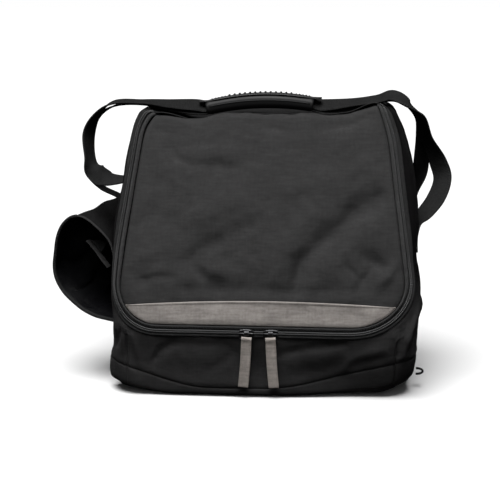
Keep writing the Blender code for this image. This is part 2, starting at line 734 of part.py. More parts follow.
def side_pouch(cloth, binding):
    shares = [0.0, 0.18, 0.36, 0.54, 0.70, 0.83, 0.92]
    outer = [pouch_ring(share, 0.0) for share in shares]
    inner = [pouch_ring(share, POUCH_WALL) for share in shares[:-1]]
    mesh = bmesh.new()
    loops = [[mesh.verts.new(p) for p in ring] for ring in outer[::-1] + inner]
    count = len(loops[0])
    for first, second in zip(loops, loops[1:]):
        for i in range(count):
            k = (i + 1) % count
            mesh.faces.new((first[i], first[k], second[k], second[i]))
    mesh.faces.new(loops[0])
    mesh.faces.new(loops[-1])
    finish_mesh("side_pouch", mesh, cloth)

    rim = []
    for x, y, z in curve_points(POUCH_RIM, 3):
        rim.append((-POUCH_FACE - 0.0016 - max(0.0, x), y - 0.0028, z))
    tube("pouch_binding", rim, 0.0016, binding, sides=6)


def side_loop(webbing):
    """A short loop of cord sewn low on the right side."""
    face = BASE_WIDTH / 2 + 0.0006
    path = []
    for step in range(9):
        turn = math.radians(-90 + 22.5 * step)
        path.append((face + 0.0012 + 0.0075 * math.cos(turn), -0.060, 0.0200 + 0.0045 * math.sin(turn)))
    tube("side_loop", path, 0.0012, webbing, sides=8)


def main():
    clear_scene()
    cloth = material("black_nylon", BLACK_CLOTH, 0.75)
    lining = material("foam", FOAM_GREY, 0.9)
    board = material("stiffener", CHARCOAL, 0.6)
    tape = material("zip_tape", BLACK_TRIM, 0.7)
    coil = material("zip_coil", BLACK_TRIM, 0.4)
    piping = material("piping", CHARCOAL, 0.6)
    trim = material("grey_canvas", WARM_GREY, 0.85)
    metal = material("black_metal", BLACK_TRIM, 0.35, 0.8)
    rubber = material("rubber", BLACK_TRIM, 0.35)
    webbing = material("black_webbing", BLACK_CLOTH, 0.7)
    grey_webbing = material("grey_webbing", WARM_GREY, 0.8)

    base_parts(cloth, board)
    front_wall(cloth, lining)
    gussets(cloth, lining)
    back_parts(cloth, board)
    top_panel(cloth)
    flap_parts(cloth, lining, trim, piping)
    zips(tape, coil)
    hang("flap_pivot", HINGE, named("flap_panel", "flap_foam", "flap_trim", "flap_piping", *FLAP_ZIP))
    for side in (-1, 1):
        name = "left_slider" if side < 0 else "right_slider"
        pivot = slider(name, side, metal)
        hang(name + "_pivot", pivot, named(name, name + "_bridge", name + "_eye"))
        pull(side, pivot, metal, grey_webbing)
    grip_body(rubber)
    grip_pad(rubber)
    hang("grip_pivot", (GRIP_X, GRIP_Y, GRIP_END_Z), named("grip_body", "grip_pad"))
    webbings(webbing)
    side_pouch(cloth, webbing)
    side_loop(webbing)


main()
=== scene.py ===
"""Looks of a soft black carry bag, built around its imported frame.

Metres, +Z up. The flap faces -Y and the pouch is on the -X side. Most cloth is laid out in the bag's
unrolled skin: a distance round the bag from the middle of its front, and a height.
"""
import math

import bmesh
import bpy
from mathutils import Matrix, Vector, noise


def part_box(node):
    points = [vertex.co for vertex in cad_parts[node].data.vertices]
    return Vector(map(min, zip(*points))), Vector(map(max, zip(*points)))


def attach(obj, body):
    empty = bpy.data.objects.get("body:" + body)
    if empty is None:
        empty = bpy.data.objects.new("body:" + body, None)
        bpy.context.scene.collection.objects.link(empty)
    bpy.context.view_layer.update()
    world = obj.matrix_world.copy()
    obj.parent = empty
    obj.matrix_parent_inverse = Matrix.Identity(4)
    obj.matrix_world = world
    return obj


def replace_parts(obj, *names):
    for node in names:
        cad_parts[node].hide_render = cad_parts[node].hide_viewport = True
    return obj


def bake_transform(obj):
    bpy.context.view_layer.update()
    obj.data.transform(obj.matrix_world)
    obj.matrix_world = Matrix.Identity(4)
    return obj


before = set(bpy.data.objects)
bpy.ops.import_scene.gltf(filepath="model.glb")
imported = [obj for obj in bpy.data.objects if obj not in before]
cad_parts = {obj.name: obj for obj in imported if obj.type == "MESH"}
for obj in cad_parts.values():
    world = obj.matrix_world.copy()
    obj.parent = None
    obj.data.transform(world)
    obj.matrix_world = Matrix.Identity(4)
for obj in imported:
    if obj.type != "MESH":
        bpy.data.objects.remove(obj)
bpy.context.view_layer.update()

# Sizes read from the frame
HALF_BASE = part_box("base_band")[1].x
HALF_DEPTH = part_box("base_band")[1].y
HALF_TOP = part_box("top_panel")[1].x
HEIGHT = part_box("top_panel")[1].z
TOP_DEPTH = HALF_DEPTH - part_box("flap_panel")[1].y
ZIP_HEIGHT = round(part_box("body_zip_tape")[0].z, 3)
SLIDER_Z = sum(corner.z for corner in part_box("left_slider")) / 2
POUCH_FACE = -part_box("side_pouch")[1].x

# The skin's shape
TAPER_FROM = 0.170
TAPER_POWER = 2.6
REAR_RADIUS = 0.020
RIM_RADIUS = 0.0085  # where the walls turn over into the top
RIM_START = HEIGHT - RIM_RADIUS
RIM_END = RIM_START + RIM_RADIUS * math.pi / 2  # height as measured along the cloth
CLOTH = 0.0026
CORNER_TABLE = ((0.0, 0.034), (0.050, 0.030), (0.085, 0.026), (0.125, 0.017), (0.200, 0.013), (0.336, 0.011))
SIDE_EASE = {-1: -0.0040, 1: -0.0015}  # how far each soft side stands out from the straight one
SIDE_SWELLS = {  # (height, reach up and down, how much further out) of each soft hollow or swell
    -1: ((0.040, 0.020, 0.0020), (0.095, 0.020, -0.0020), (0.250, 0.025, -0.0035), (0.320, 0.020, 0.0020)),
    1: ((0.000, 0.030, -0.0045), (0.105, 0.025, 0.0035), (0.165, 0.020, -0.0040), (0.310, 0.030, -0.0030)),
}
BELLY_Z = 0.075  # the front bulges up to here, then leans back
BELLY = 0.0065
LEAN_POWER = 1.35
SEAM_LOW = 0.011  # height of the seam above the base band, at the middle of the front
SEAM_CLIMB = {-1: (0.060, 0.210, 0.032), 1: (0.000, 0.220, 0.040)}  # (from, to, rise) round each side
SEAM_BACK = 0.034
TOP_SAG = 0.0065  # how far the front edge of the top hangs below its corners
TOP_DIPS = ((-0.090, 0.025, 0.008), (0.133, 0.025, -0.014))  # (x, reach, how much lower)
CORNER_SEAM = 0.161  # distance of the upright seams beside the front wall

# The flap's edge: a straight bottom, a round corner each side, then up the side
FLAP_BOTTOM = SLIDER_Z + 0.0072
FLAP_CORNERS = {-1: (0.125, 0.045, 0.045), 1: (0.105, 0.0645, 0.051)}  # start, reach and rise
FLAP_SIDES = {  # (start height, distance there, lean, where it starts to round in, how much by 50 mm above)
    -1: (0.135, 0.1700, 0.110, 0.300, 0.020),
    1: (0.140, 0.1695, 0.130, 0.290, 0.012),
}
FLAP_TOP = RIM_START + 0.0095
TAPE_TOP = RIM_END + 0.0060

SIDE_GROWTH = (0.100, 0.170)  # heights between which the zip's strips widen
OPENING_LAP = 0.0016  # how far the zip's tape lies over the walls' edge

# Strips of the zip, as distances outwards from the flap's edge: along the bottom, then up the sides
PIPING = ((0.0004, 0.0030), (0.0010, 0.0060))
FLAP_TAPE = ((0.0026, 0.0060), (0.0050, 0.0080))
FLAP_COIL = ((0.0052, 0.0071), (0.0071, 0.0088))
BODY_COIL = ((0.0073, 0.0092), (0.0090, 0.0107))
BODY_TAPE = ((0.0086, 0.0134), (0.0100, 0.0164))
TAPE_PROFILE = (  # flat beside the coil, then a soft roll
    (-1.0, -0.0010), (-0.45, -0.0010), (-0.28, 0.0001), (0.0, 0.0008), (0.35, 0.0010), (0.75, 0.0007),
    (1.0, 0.0), (0.7, -0.0014), (-0.4, -0.0018), (-1.0, -0.0018),
)
COIL_PITCH = 0.0016

GRIP_MIDDLE = (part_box("grip_body")[0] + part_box("grip_body")[1]) / 2
GRIP_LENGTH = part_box("grip_body")[1].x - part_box("grip_body")[0].x
GRIP_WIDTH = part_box("grip_body")[1].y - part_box("grip_body")[0].y
GRIP_PAD_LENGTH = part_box("grip_pad")[1].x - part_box("grip_pad")[0].x
GRIP_END_Z = 0.3340
GRIP_ARCH = 0.0070
GRIP_TILT = 0.0025
RIBS = 13
RIB_PITCH = 0.0066
WEBBING_WIDTH = 0.025
WEBBING_THICK = 0.0018


# --- curves and numbers --------------------------------------------------------------


def follow(table, at):
    """The value of a smooth curve through a table of (place, value) pairs."""
    if at <= table[0][0]:
        return table[0][1]
    if at >= table[-1][0]:
        return table[-1][1]
    k = max(i for i in range(len(table) - 1) if table[i][0] <= at)

    def slope(i):
        a, b = table[max(i - 1, 0)], table[min(i + 1, len(table) - 1)]
        return (b[1] - a[1]) / (b[0] - a[0])

    (x0, y0), (x1, y1) = table[k], table[k + 1]
    span = x1 - x0
    t = (at - x0) / span
    start = (1 + 2 * t) * (1 - t) ** 2 * y0 + t * (1 - t) ** 2 * span * slope(k)
    return start + t * t * (3 - 2 * t) * y1 + t * t * (t - 1) * span * slope(k + 1)


def side_of(distance):
    return 1 if distance >= 0 else -1


def spread(low, high, count):
    return [low + (high - low) * i / (count - 1) for i in range(count)]


def smooth_step(low, high, at):
    t = max(0.0, min(1.0, (at - low) / (high - low)))
    return t * t * (3 - 2 * t)


def bell(at, middle, width):
    return math.exp(-(((at - middle) / width) ** 2))


def smooth_line(points, per_span):
    """Points on a smooth curve through a list of points of any size."""
    ends = [points[0], *points, points[-1]]
    found = []
    for i in range(1, len(ends) - 2):
        for step in range(per_span):
            t = step / per_span
            place = []
            for p, q, r, s in zip(ends[i - 1], ends[i], ends[i + 1], ends[i + 2]):
                square = 2 * p - 5 * q + 4 * r - s
                cube = 3 * q - p - 3 * r + s
                place.append(0.5 * (2 * q + (r - p) * t + square * t**2 + cube * t**3))
            found.append(place)
    return found + [list(points[-1])]


def even_steps(points, step):
    """The same line, with a point every step along it."""
    points = [Vector(p) for p in points]
    lengths = [0.0]
    for a, b in zip(points, points[1:]):
        lengths.append(lengths[-1] + (b - a).length)
    count = max(2, round(lengths[-1] / step) + 1)
    found, k = [], 0
    for target in spread(0.0, lengths[-1], count):
        while k < len(points) - 2 and lengths[k + 1] < target:
            k += 1
        share = (target - lengths[k]) / max(1e-9, lengths[k + 1] - lengths[k])
        found.append(points[k].lerp(points[k + 1], min(1.0, share)))
    return found


def heading(points, i):
    """The direction of a line at one of its points."""
    return (points[min(i + 1, len(points) - 1)] - points[max(i - 1, 0)]).normalized()


def ribbon_frames(places, widths):
    """Width directions and normals along a ribbon, square to its line, from the wished widths."""
    across, normals = [], []
    for i, wide in enumerate(widths):
        ahead = heading(places, i)
        across.append((wide - ahead * wide.dot(ahead)).normalized())
        normals.append(ahead.cross(across[-1]).normalized())
    return across, normals


def mottle(point, scale, seed=0.0):
    return noise.noise(Vector(point) * scale + Vector((seed, seed * 0.7, -seed)))


# --- the bag's skin ------------------------------------------------------------------


def half_width(z, side):
    share = max(0.0, (z - TAPER_FROM) / (HEIGHT - TAPER_FROM))
    straight = HALF_BASE - (HALF_BASE - HALF_TOP) * share**TAPER_POWER
    return straight + SIDE_EASE[side] + sum(out * bell(z, at, reach) for at, reach, out in SIDE_SWELLS[side])


def front_y(z):
    belly = -HALF_DEPTH - BELLY
    if z < BELLY_Z:
        return -HALF_DEPTH - BELLY * smooth_step(0.0, BELLY_Z, z)
    share = min(1.0, (z - BELLY_Z) / (HEIGHT - BELLY_Z))
    return belly + (HALF_DEPTH - TOP_DEPTH - belly) * share**LEAN_POWER


def top_dip(x):
    """How far the top's front edge hangs; the webbing has pressed a hollow on its left."""
    sag = TOP_SAG + sum(lower * bell(x, at, reach) for at, reach, lower in TOP_DIPS)
    return sag * (1 - smooth_step(0.135, 0.163, abs(x)))


def stops(z, side):
    """Distances at which the section turns: front corner, side, rear corner, back, middle of the back."""
    corner = follow(CORNER_TABLE, z)
    wide = half_width(z, side)
    flat = wide - corner
    side_start = flat + corner * math.pi / 2
    side_end = side_start + HALF_DEPTH - REAR_RADIUS - front_y(z) - corner
    rear_end = side_end + REAR_RADIUS * math.pi / 2
    return flat, side_start, side_end, rear_end, rear_end + wide - REAR_RADIUS


def skin(distance, z, lift=0.0):
    """The point of the skin at a distance from the middle of the front and a height, raised by lift."""
    side = side_of(distance)
    gone = abs(distance)
    flat, side_start, side_end, rear_end, _ = stops(z, side)
    corner = follow(CORNER_TABLE, z)
    wide = flat + corner
    y = front_y(z)
    if gone <= flat:
        x, out = gone, (0.0, -1.0)
    elif gone <= side_start:
        turn = (gone - flat) / corner
        x, y = flat + corner * math.sin(turn), y + corner * (1 - math.cos(turn))
        out = (math.sin(turn), -math.cos(turn))
    elif gone <= side_end:
        x, y, out = wide, y + corner + gone - side_start, (1.0, 0.0)
    elif gone <= rear_end:
        turn = (gone - side_end) / REAR_RADIUS
        x = wide - REAR_RADIUS * (1 - math.cos(turn))
        y = HALF_DEPTH - REAR_RADIUS * (1 - math.sin(turn))
        out = (math.cos(turn), math.sin(turn))
    else:
        x, y, out = wide - REAR_RADIUS - (gone - rear_end), HALF_DEPTH, (0.0, 1.0)
    slope = (front_y(z + 0.002) - front_y(z - 0.002)) / 0.004
    normal = Vector((side * out[0], out[1], max(0.0, -out[1]) * slope)).normalized()
    return Vector((side * x, y, z)) + normal * lift


def over_rim(distance, gone_up, lift=0.0):
    """A point of the skin at a height measured along the cloth, which turns over the rim and runs back."""
    turn = max(0.0, min(math.pi / 2, (gone_up - RIM_START) / RIM_RADIUS))
    back = max(0.0, gone_up - RIM_END)
    depth = RIM_RADIUS * (1 - math.cos(turn)) + back
    z = min(gone_up, RIM_START) + RIM_RADIUS * math.sin(turn)
    point = skin(distance, z, lift * math.cos(turn) - depth)
    point.z += lift * math.sin(turn) - top_dip(point.x) * smooth_step(HEIGHT - 0.070, HEIGHT, point.z)
    return point


def skin_normal(distance, gone_up):
    return (over_rim(distance, gone_up, 0.002) - over_rim(distance, gone_up)).normalized()


def seam_height(distance):
    start, end, rise = SEAM_CLIMB[side_of(distance)]
    height = SEAM_LOW + rise * smooth_step(start, end, abs(distance))
    return height + (SEAM_BACK - height) * smooth_step(0.30, 0.55, abs(distance))


# --- folds and creases, in the unrolled skin -----------------------------------------

FLAP_FOLDS = (  # (start, end, half width, height): each is a soft ridge, or a valley below 0
    ((0.150, 0.238), (0.114, 0.222), 0.014, -0.0040), ((0.118, 0.224), (0.080, 0.192), 0.013, -0.0058),
    ((0.076, 0.190), (0.046, 0.160), 0.011, -0.0058), ((0.046, 0.160), (0.041, 0.130), 0.009, -0.0058),
    ((0.140, 0.206), (0.100, 0.172), 0.014, 0.0022), ((0.096, 0.172), (0.070, 0.142), 0.012, 0.0018),
    ((0.060, 0.210), (0.010, 0.170), 0.014, 0.0020), ((0.020, 0.160), (0.012, 0.135), 0.010, 0.0018),
    ((-0.006, 0.206), (-0.060, 0.180), 0.010, -0.0028), ((-0.060, 0.180), (-0.105, 0.152), 0.011, -0.0030),
    ((-0.030, 0.230), (-0.085, 0.196), 0.012, 0.0012), ((-0.040, 0.222), (-0.090, 0.205), 0.010, 0.0018),
    ((-0.118, 0.298), (-0.109, 0.279), 0.006, -0.0022), ((-0.109, 0.279), (-0.090, 0.270), 0.006, -0.0024),
    ((-0.090, 0.270), (-0.030, 0.268), 0.006, -0.0016), ((-0.086, 0.287), (-0.050, 0.283), 0.012, 0.0016),
    ((-0.138, 0.318), (-0.118, 0.310), 0.006, -0.0018), ((-0.134, 0.280), (-0.120, 0.262), 0.009, 0.0014),
    ((-0.002, 0.318), (0.032, 0.313), 0.004, -0.0018), ((0.060, 0.316), (0.134, 0.323), 0.0045, -0.0018),
    ((0.050, 0.300), (0.128, 0.306), 0.012, 0.0010), ((-0.078, 0.152), (-0.066, 0.138), 0.007, -0.0032),
    ((-0.066, 0.138), (-0.046, 0.134), 0.008, -0.0028), ((-0.060, 0.150), (-0.030, 0.146), 0.009, 0.0020),
    ((0.124, 0.168), (0.150, 0.154), 0.007, -0.0038), ((0.166, 0.166), (0.136, 0.134), 0.006, 0.0032),
    ((0.100, 0.158), (0.114, 0.145), 0.004, -0.0022), ((0.128, 0.152), (0.112, 0.132), 0.005, -0.0020),
    ((-0.150, 0.136), (-0.128, 0.142), 0.004, -0.0020), ((-0.126, 0.143), (-0.105, 0.141), 0.004, -0.0018),
    ((-0.155, 0.160), (-0.120, 0.175), 0.008, 0.0018), ((-0.120, 0.232), (-0.150, 0.200), 0.010, -0.0018),
    ((0.120, 0.270), (0.138, 0.250), 0.008, 0.0018), ((-0.090, 0.126), (-0.020, 0.129), 0.004, -0.0018),
    ((-0.010, 0.129), (0.080, 0.126), 0.004, -0.0018), ((0.010, 0.240), (0.100, 0.262), 0.012, 0.0014),
)
WALL_FOLDS = (
    ((-0.128, 0.044), (-0.120, 0.057), 0.0036, -0.0034),
    ((-0.120, 0.057), (-0.107, 0.0645), 0.0036, -0.0034),
    ((-0.107, 0.0650), (-0.041, 0.0660), 0.0034, -0.0020),
    ((-0.041, 0.0660), (-0.031, 0.054), 0.0040, -0.0018),
    ((-0.031, 0.054), (-0.062, 0.034), 0.0045, -0.0014), ((-0.104, 0.049), (-0.052, 0.046), 0.0130, 0.0026),
    ((0.020, 0.054), (0.060, 0.0630), 0.0036, -0.0028), ((0.060, 0.0630), (0.100, 0.0685), 0.0038, -0.0028),
    ((0.098, 0.033), (0.106, 0.049), 0.0050, 0.0022), ((0.106, 0.049), (0.141, 0.062), 0.0080, 0.0024),
    ((0.040, 0.044), (0.092, 0.056), 0.0090, 0.0016), ((0.112, 0.042), (0.146, 0.052), 0.0060, -0.0008),
    ((-0.010, 0.060), (-0.004, 0.020), 0.0100, -0.0026), ((-0.153, 0.072), (-0.146, 0.040), 0.0040, 0.0024),
    ((-0.164, 0.088), (-0.168, 0.050), 0.0030, 0.0026), ((-0.170, 0.078), (-0.182, 0.056), 0.0040, -0.0034),
    ((-0.180, 0.100), (-0.176, 0.070), 0.0050, 0.0026), ((-0.186, 0.076), (-0.196, 0.050), 0.0050, -0.0026),
    ((-0.196, 0.130), (-0.200, 0.080), 0.0070, 0.0026), ((-0.190, 0.180), (-0.200, 0.140), 0.0060, -0.0022),
    ((0.166, 0.090), (0.163, 0.056), 0.0030, -0.0034), ((0.170, 0.054), (0.182, 0.092), 0.0040, 0.0036),
    ((0.182, 0.092), (0.190, 0.112), 0.0045, 0.0034), ((0.176, 0.062), (0.186, 0.082), 0.0035, -0.0032),
    ((0.188, 0.060), (0.196, 0.100), 0.0050, -0.0036), ((0.192, 0.130), (0.200, 0.104), 0.0060, 0.0030),
    ((0.190, 0.164), (0.200, 0.130), 0.0060, -0.0032), ((0.205, 0.190), (0.225, 0.110), 0.014, 0.0030),
    ((0.240, 0.250), (0.270, 0.140), 0.016, -0.0034), ((0.300, 0.260), (0.280, 0.100), 0.018, 0.0034),
    ((0.330, 0.150), (0.250, 0.060), 0.012, -0.0030), ((-0.205, 0.190), (-0.225, 0.110), 0.014, 0.0026),
    ((-0.240, 0.260), (-0.265, 0.200), 0.012, -0.0030), ((-0.310, 0.280), (-0.290, 0.110), 0.018, 0.0034),
    ((-0.340, 0.140), (-0.260, 0.060), 0.012, -0.0030), ((0.420, 0.230), (0.520, 0.120), 0.020, -0.0040),
    ((0.400, 0.120), (0.500, 0.060), 0.014, 0.0030), ((-0.420, 0.250), (-0.520, 0.160), 0.020, -0.0036),
    ((-0.400, 0.110), (-0.520, 0.070), 0.014, 0.0030), ((-0.500, 0.300), (-0.440, 0.200), 0.016, 0.0028),
    ((0.450, 0.300), (0.520, 0.240), 0.014, 0.0026),
)


def fold_lift(folds, distance, z):
    """The sum of the folds near a point of the skin; each fades out past its ends."""
    lift = 0.0
    for (x0, z0), (x1, z1), width, height in folds:
        dx, dz = x1 - x0, z1 - z0
        t = ((distance - x0) * dx + (z - z0) * dz) / (dx * dx + dz * dz)
        t = max(0.0, min(1.0, t))
        away = math.hypot(distance - x0 - t * dx, z - z0 - t * dz)
        if away < 3 * width:
            lift += height * math.exp(-((away / width) ** 2)) * (0.55 + 0.45 * math.sin(math.pi * t))
    return lift


def crumple(point, size, seed=0.0):
    """Fine unevenness of a soft panel: broad waves with smaller ones on them."""
    broad = mottle(point, 14.0, seed)
    middle = mottle(point, 34.0, seed + 5.0)
    fine = mottle(point, 85.0, seed + 9.0)
    return size * (broad + 0.80 * middle + 0.26 * fine)


# --- making meshes -------------------------------------------------------------------


def add_piece(name, mesh, looks, body=None, weld=None):
    """A smooth-shaded object from a bmesh, riding on a body."""
    if weld:
        bmesh.ops.remove_doubles(mesh, verts=mesh.verts, dist=weld)
    bmesh.ops.recalc_face_normals(mesh, faces=mesh.faces)
    data = bpy.data.meshes.new(name)
    mesh.to_mesh(data)
    mesh.free()
    data.shade_smooth()
    for look in looks:
        data.materials.append(look)
    obj = bpy.data.objects.new(name, data)
    bpy.context.collection.objects.link(obj)
    if body:
        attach(obj, body)
    return obj


def lay_grid(mesh, rows, pick=None):
    """Faces between rows of (point, place) pairs; the place in the cloth, in metres, is the UV."""
    layer = mesh.loops.layers.uv.verify()
    verts = [[mesh.verts.new(point) for point, _ in row] for row in rows]
    for i in range(len(verts) - 1):
        for j in range(len(verts[0]) - 1):
            corners = ((i, j), (i, j + 1), (i + 1, j + 1), (i + 1, j))
            face = mesh.faces.new([verts[a][b] for a, b in corners])
            if pick:
                face.material_index = pick(rows[i][j][1], rows[i][j + 1][1])
            for loop, (a, b) in zip(face.loops, corners):
                loop[layer].uv = rows[a][b][1]


def turn_towards(obj, facing):
    """Turns a single sheet over if its faces look away from a direction."""
    if sum(p.normal.dot(facing) * p.area for p in obj.data.polygons) < 0:
        obj.data.flip_normals()


def join_rings(mesh, rings):
    """Faces between rings of points, and over both ends."""
    for a, b in zip(rings, rings[1:]):
        for k in range(len(a)):
            n = (k + 1) % len(a)
            mesh.faces.new((a[k], a[n], b[n], b[k]))
    mesh.faces.new(rings[0])
    mesh.faces.new(rings[-1])


def thicken(obj, thickness, inner_look=0):
    """Gives a cloth surface its thickness on the inside, with its own material there."""
    modifier = obj.modifiers.new("thickness", "SOLIDIFY")
    modifier.thickness = thickness
    modifier.offset = -1
    modifier.material_offset = inner_look


def subdivide(obj):
    modifier = obj.modifiers.new("smooth", "SUBSURF")
    modifier.levels = 1
    modifier.render_levels = 1


def sweep(name, places, across, normals, profile, look, body, slot, closed=True, shape=None):
    """A profile of (across, out) points carried along a line. shape(i) scales the profile's height there."""
    mesh = bmesh.new()
    layer = mesh.loops.layers.uv.verify()
    rings, gone = [], [0.0]
    for a, b in zip(places, places[1:]):
        gone.append(gone[-1] + (b - a).length)
    for i, place in enumerate(places):
        tall = shape(i) if shape else 1.0
        rings.append([mesh.verts.new(place + across[i] * u + normals[i] * v * tall) for u, v in profile])
    girth = [0.0]
    for (u0, v0), (u1, v1) in zip(profile, profile[1:] + profile[:1]):
        girth.append(girth[-1] + math.hypot(u1 - u0, v1 - v0))
    count = len(profile)
    for i in range(len(rings) - 1):
        for k in range(count):
            n = (k + 1) % count
            face = mesh.faces.new((rings[i][k], rings[i][n], rings[i + 1][n], rings[i + 1][k]))
            corners = ((k, i), (k + 1, i), (k + 1, i + 1), (k, i + 1))
            for loop, (u, v) in zip(face.loops, corners):
                loop[layer].uv = (girth[u], gone[v])
    if closed:
        mesh.faces.new(rings[0])
        mesh.faces.new(rings[-1])
    return add_piece(name, mesh, [look], body)


def round_profile(half_wide, half_tall, count=12, power=2.0, raise_by=0.0):
    """A rounded outline; a power above 2 makes it squarer."""
    found = []
    for k in range(count):
        turn = 2 * math.pi * k / count
        c, s = math.cos(turn), math.sin(turn)
        u = half_wide * math.copysign(abs(c) ** (2 / power), c)
        v = half_tall * math.copysign(abs(s) ** (2 / power), s)
        found.append((u, v + raise_by))
    return found


def stitches(name, places, normals, body, look, slot, pitch=0.0034, length=0.0023, wide=0.00042, sink=0.0):
    """A row of thread stitches along a line: each is a small spindle lying on the cloth."""
    mesh = bmesh.new()
    gone, lengths = 0.0, [0.0]
    for a, b in zip(places, places[1:]):
        gone += (b - a).length
        lengths.append(gone)
    k, at = 0, pitch / 2
    while at < gone:
        while lengths[k + 1] < at:
            k += 1
        share = (at - lengths[k]) / (lengths[k + 1] - lengths[k])
        along = (places[k + 1] - places[k]).normalized()
        normal = normals[k]
        middle = places[k].lerp(places[k + 1], share) + normal * (wide * 0.4 - sink)
        aside = along.cross(normal).normalized()
        ends = [mesh.verts.new(middle + along * length / 2 * d - normal * wide * 0.5) for d in (-1, 1)]
        ring = []
        for turn in (0, 1, 2, 3):
            c, s = math.cos(turn * math.pi / 2), math.sin(turn * math.pi / 2)
            ring.append(mesh.verts.new(middle + aside * c * wide + normal * s * wide))
        for i in range(4):
            mesh.faces.new((ends[0], ring[i], ring[(i + 1) % 4]))
            mesh.faces.new((ends[1], ring[(i + 1) % 4], ring[i]))
        at += pitch
    return add_piece(name, mesh, [look], body)


# --- materials -----------------------------------------------------------------------


class Look:
    """A material under construction: short calls that add nodes and join them."""

    def __init__(self, name, rough, spec=0.5, metallic=0.0, sheen=0.0, sheen_rough=0.4, coat=0.0):
        self.made = bpy.data.materials.new(name)
        self.made.use_nodes = True
        self.tree = self.made.node_tree
        self.shader = self.tree.nodes["Principled BSDF"]
        self.shader.inputs["Roughness"].default_value = rough
        self.shader.inputs["Specular IOR Level"].default_value = spec
        self.shader.inputs["Metallic"].default_value = metallic
        self.shader.inputs["Sheen Weight"].default_value = sheen
        self.shader.inputs["Sheen Roughness"].default_value = sheen_rough
        self.shader.inputs["Coat Weight"].default_value = coat

    def node(self, kind, **values):
        made = self.tree.nodes.new("ShaderNode" + kind)
        for key, value in values.items():
            setattr(made, key, value)
        return made

    def join(self, source, target):
        self.tree.links.new(source, target)

    def math(self, operation, a, b=None):
        made = self.node("Math", operation=operation)
        for socket, value in zip(made.inputs, (a, b)):
            if value is None:
                continue
            if isinstance(value, (int, float)):
                socket.default_value = value
            else:
                self.join(value, socket)
        return made.outputs[0]

    def noise(self, scale, detail=3.0, stretch=None):
        """Noise in the object's own space, as a value from 0 to 1."""
        space = self.node("TexCoord").outputs["Object"]
        if stretch:
            mapping = self.node("Mapping")
            mapping.inputs["Scale"].default_value = stretch
            self.join(space, mapping.inputs["Vector"])
            space = mapping.outputs["Vector"]
        made = self.node("TexNoise")
        made.inputs["Scale"].default_value = scale
        made.inputs["Detail"].default_value = detail
        self.join(space, made.inputs["Vector"])
        return made.outputs["Fac"]

    def cloth_place(self):
        """U and V of the cloth, in metres."""
        split = self.node("SeparateXYZ")
        self.join(self.node("TexCoord").outputs["UV"], split.inputs[0])
        return split.outputs[0], split.outputs[1]

    def wave(self, value, pitch):
        return self.math("SINE", self.math("MULTIPLY", value, 2 * math.pi / pitch))

    def weave(self, pitch, rib=0.0):
        """Height of a plain weave; rib above 0 makes its cross threads stand out."""
        u, v = self.cloth_place()
        across, along = self.wave(u, pitch), self.wave(v, pitch)
        height = self.math("MULTIPLY", across, along)
        if rib:
            height = self.math("ADD", height, self.math("MULTIPLY", along, rib))
        return height

    def fall(self, low, high, least):
        """1 below a height in the object, least above another, and even between them."""
        split = self.node("SeparateXYZ")
        self.join(self.node("TexCoord").outputs["Object"], split.inputs[0])
        made = self.node("MapRange")
        for socket, value in zip(made.inputs[1:5], (low, high, 1.0, least)):
            socket.default_value = value
        self.join(split.outputs[2], made.inputs[0])
        return made.outputs[0]

    def contrast(self, value, gain):
        """Spreads a value away from its middle, within 0 to 1."""
        made = self.math("ADD", self.math("MULTIPLY", self.math("SUBTRACT", value, 0.5), gain), 0.5)
        made.node.use_clamp = True
        return made

    def colour(self, dark, light, factor):
        mix = self.node("Mix", data_type="RGBA")
        mix.inputs[6].default_value = (*dark, 1.0)
        mix.inputs[7].default_value = (*light, 1.0)
        self.join(factor, mix.inputs[0])
        self.join(mix.outputs[2], self.shader.inputs["Base Color"])

    def roughness(self, low, high, factor):
        span = self.math("MULTIPLY", factor, high - low)
        self.join(self.math("ADD", span, low), self.shader.inputs["Roughness"])

    def bump(self, height, distance, strength=1.0):
        made = self.node("Bump")
        made.inputs["Distance"].default_value = distance
        made.inputs["Strength"].default_value = strength
        self.join(height, made.inputs["Height"])
        if self.shader.inputs["Normal"].links:
            self.join(self.shader.inputs["Normal"].links[0].from_socket, made.inputs["Normal"])
        self.join(made.outputs[0], self.shader.inputs["Normal"])


def woven(name, dark, light, pitch, depth, rough=(0.52, 0.74), spec=0.4, sheen=0.0, rib=0.0, painted_shade=None):
    """Cloth: a weave with painted shade between its threads, thick threads both ways and uneven dye.

    Between two heights it may be painted darker and less shiny, as painted shade.
    """
    look = Look(name, rough[1], spec, sheen=sheen)
    weave = look.weave(pitch, rib)
    level = look.contrast(look.noise(1.0, 3.0, (60.0, 60.0, 360.0)), 2.4)
    upright = look.contrast(look.noise(1.0, 3.0, (360.0, 60.0, 50.0)), 2.4)
    grain = look.contrast(look.noise(310.0, 3.0), 2.6)
    cloud = look.contrast(look.noise(14.0, 4.0), 1.6)
    threads = look.math("ADD", look.math("MULTIPLY", level, 0.42), look.math("MULTIPLY", upright, 0.20))
    tone = look.math("ADD", threads, look.math("MULTIPLY", grain, 0.24))
    tone = look.math("ADD", tone, look.math("MULTIPLY", cloud, 0.18))
    # Painted shade: the weave's height also darkens the colour between its threads.
    tone = look.math("ADD", tone, look.math("MULTIPLY", look.math("ADD", weave, 1.0), 0.09))
    if painted_shade:
        # Painted shade: above a height the tone and specular fall off, standing in for the shade on the bag's
        # upper sides.
        unshaded_share = look.fall(*painted_shade)
        tone = look.math("MULTIPLY", tone, unshaded_share)
        look.join(look.math("MULTIPLY", unshaded_share, spec), look.shader.inputs["Specular IOR Level"])
    look.colour(dark, light, tone)
    look.roughness(rough[0], rough[1], grain)
    look.bump(look.math("ADD", weave, look.math("MULTIPLY", threads, 1.4)), depth)
    look.bump(look.noise(60.0, 3.0), 0.0005)
    return look.made


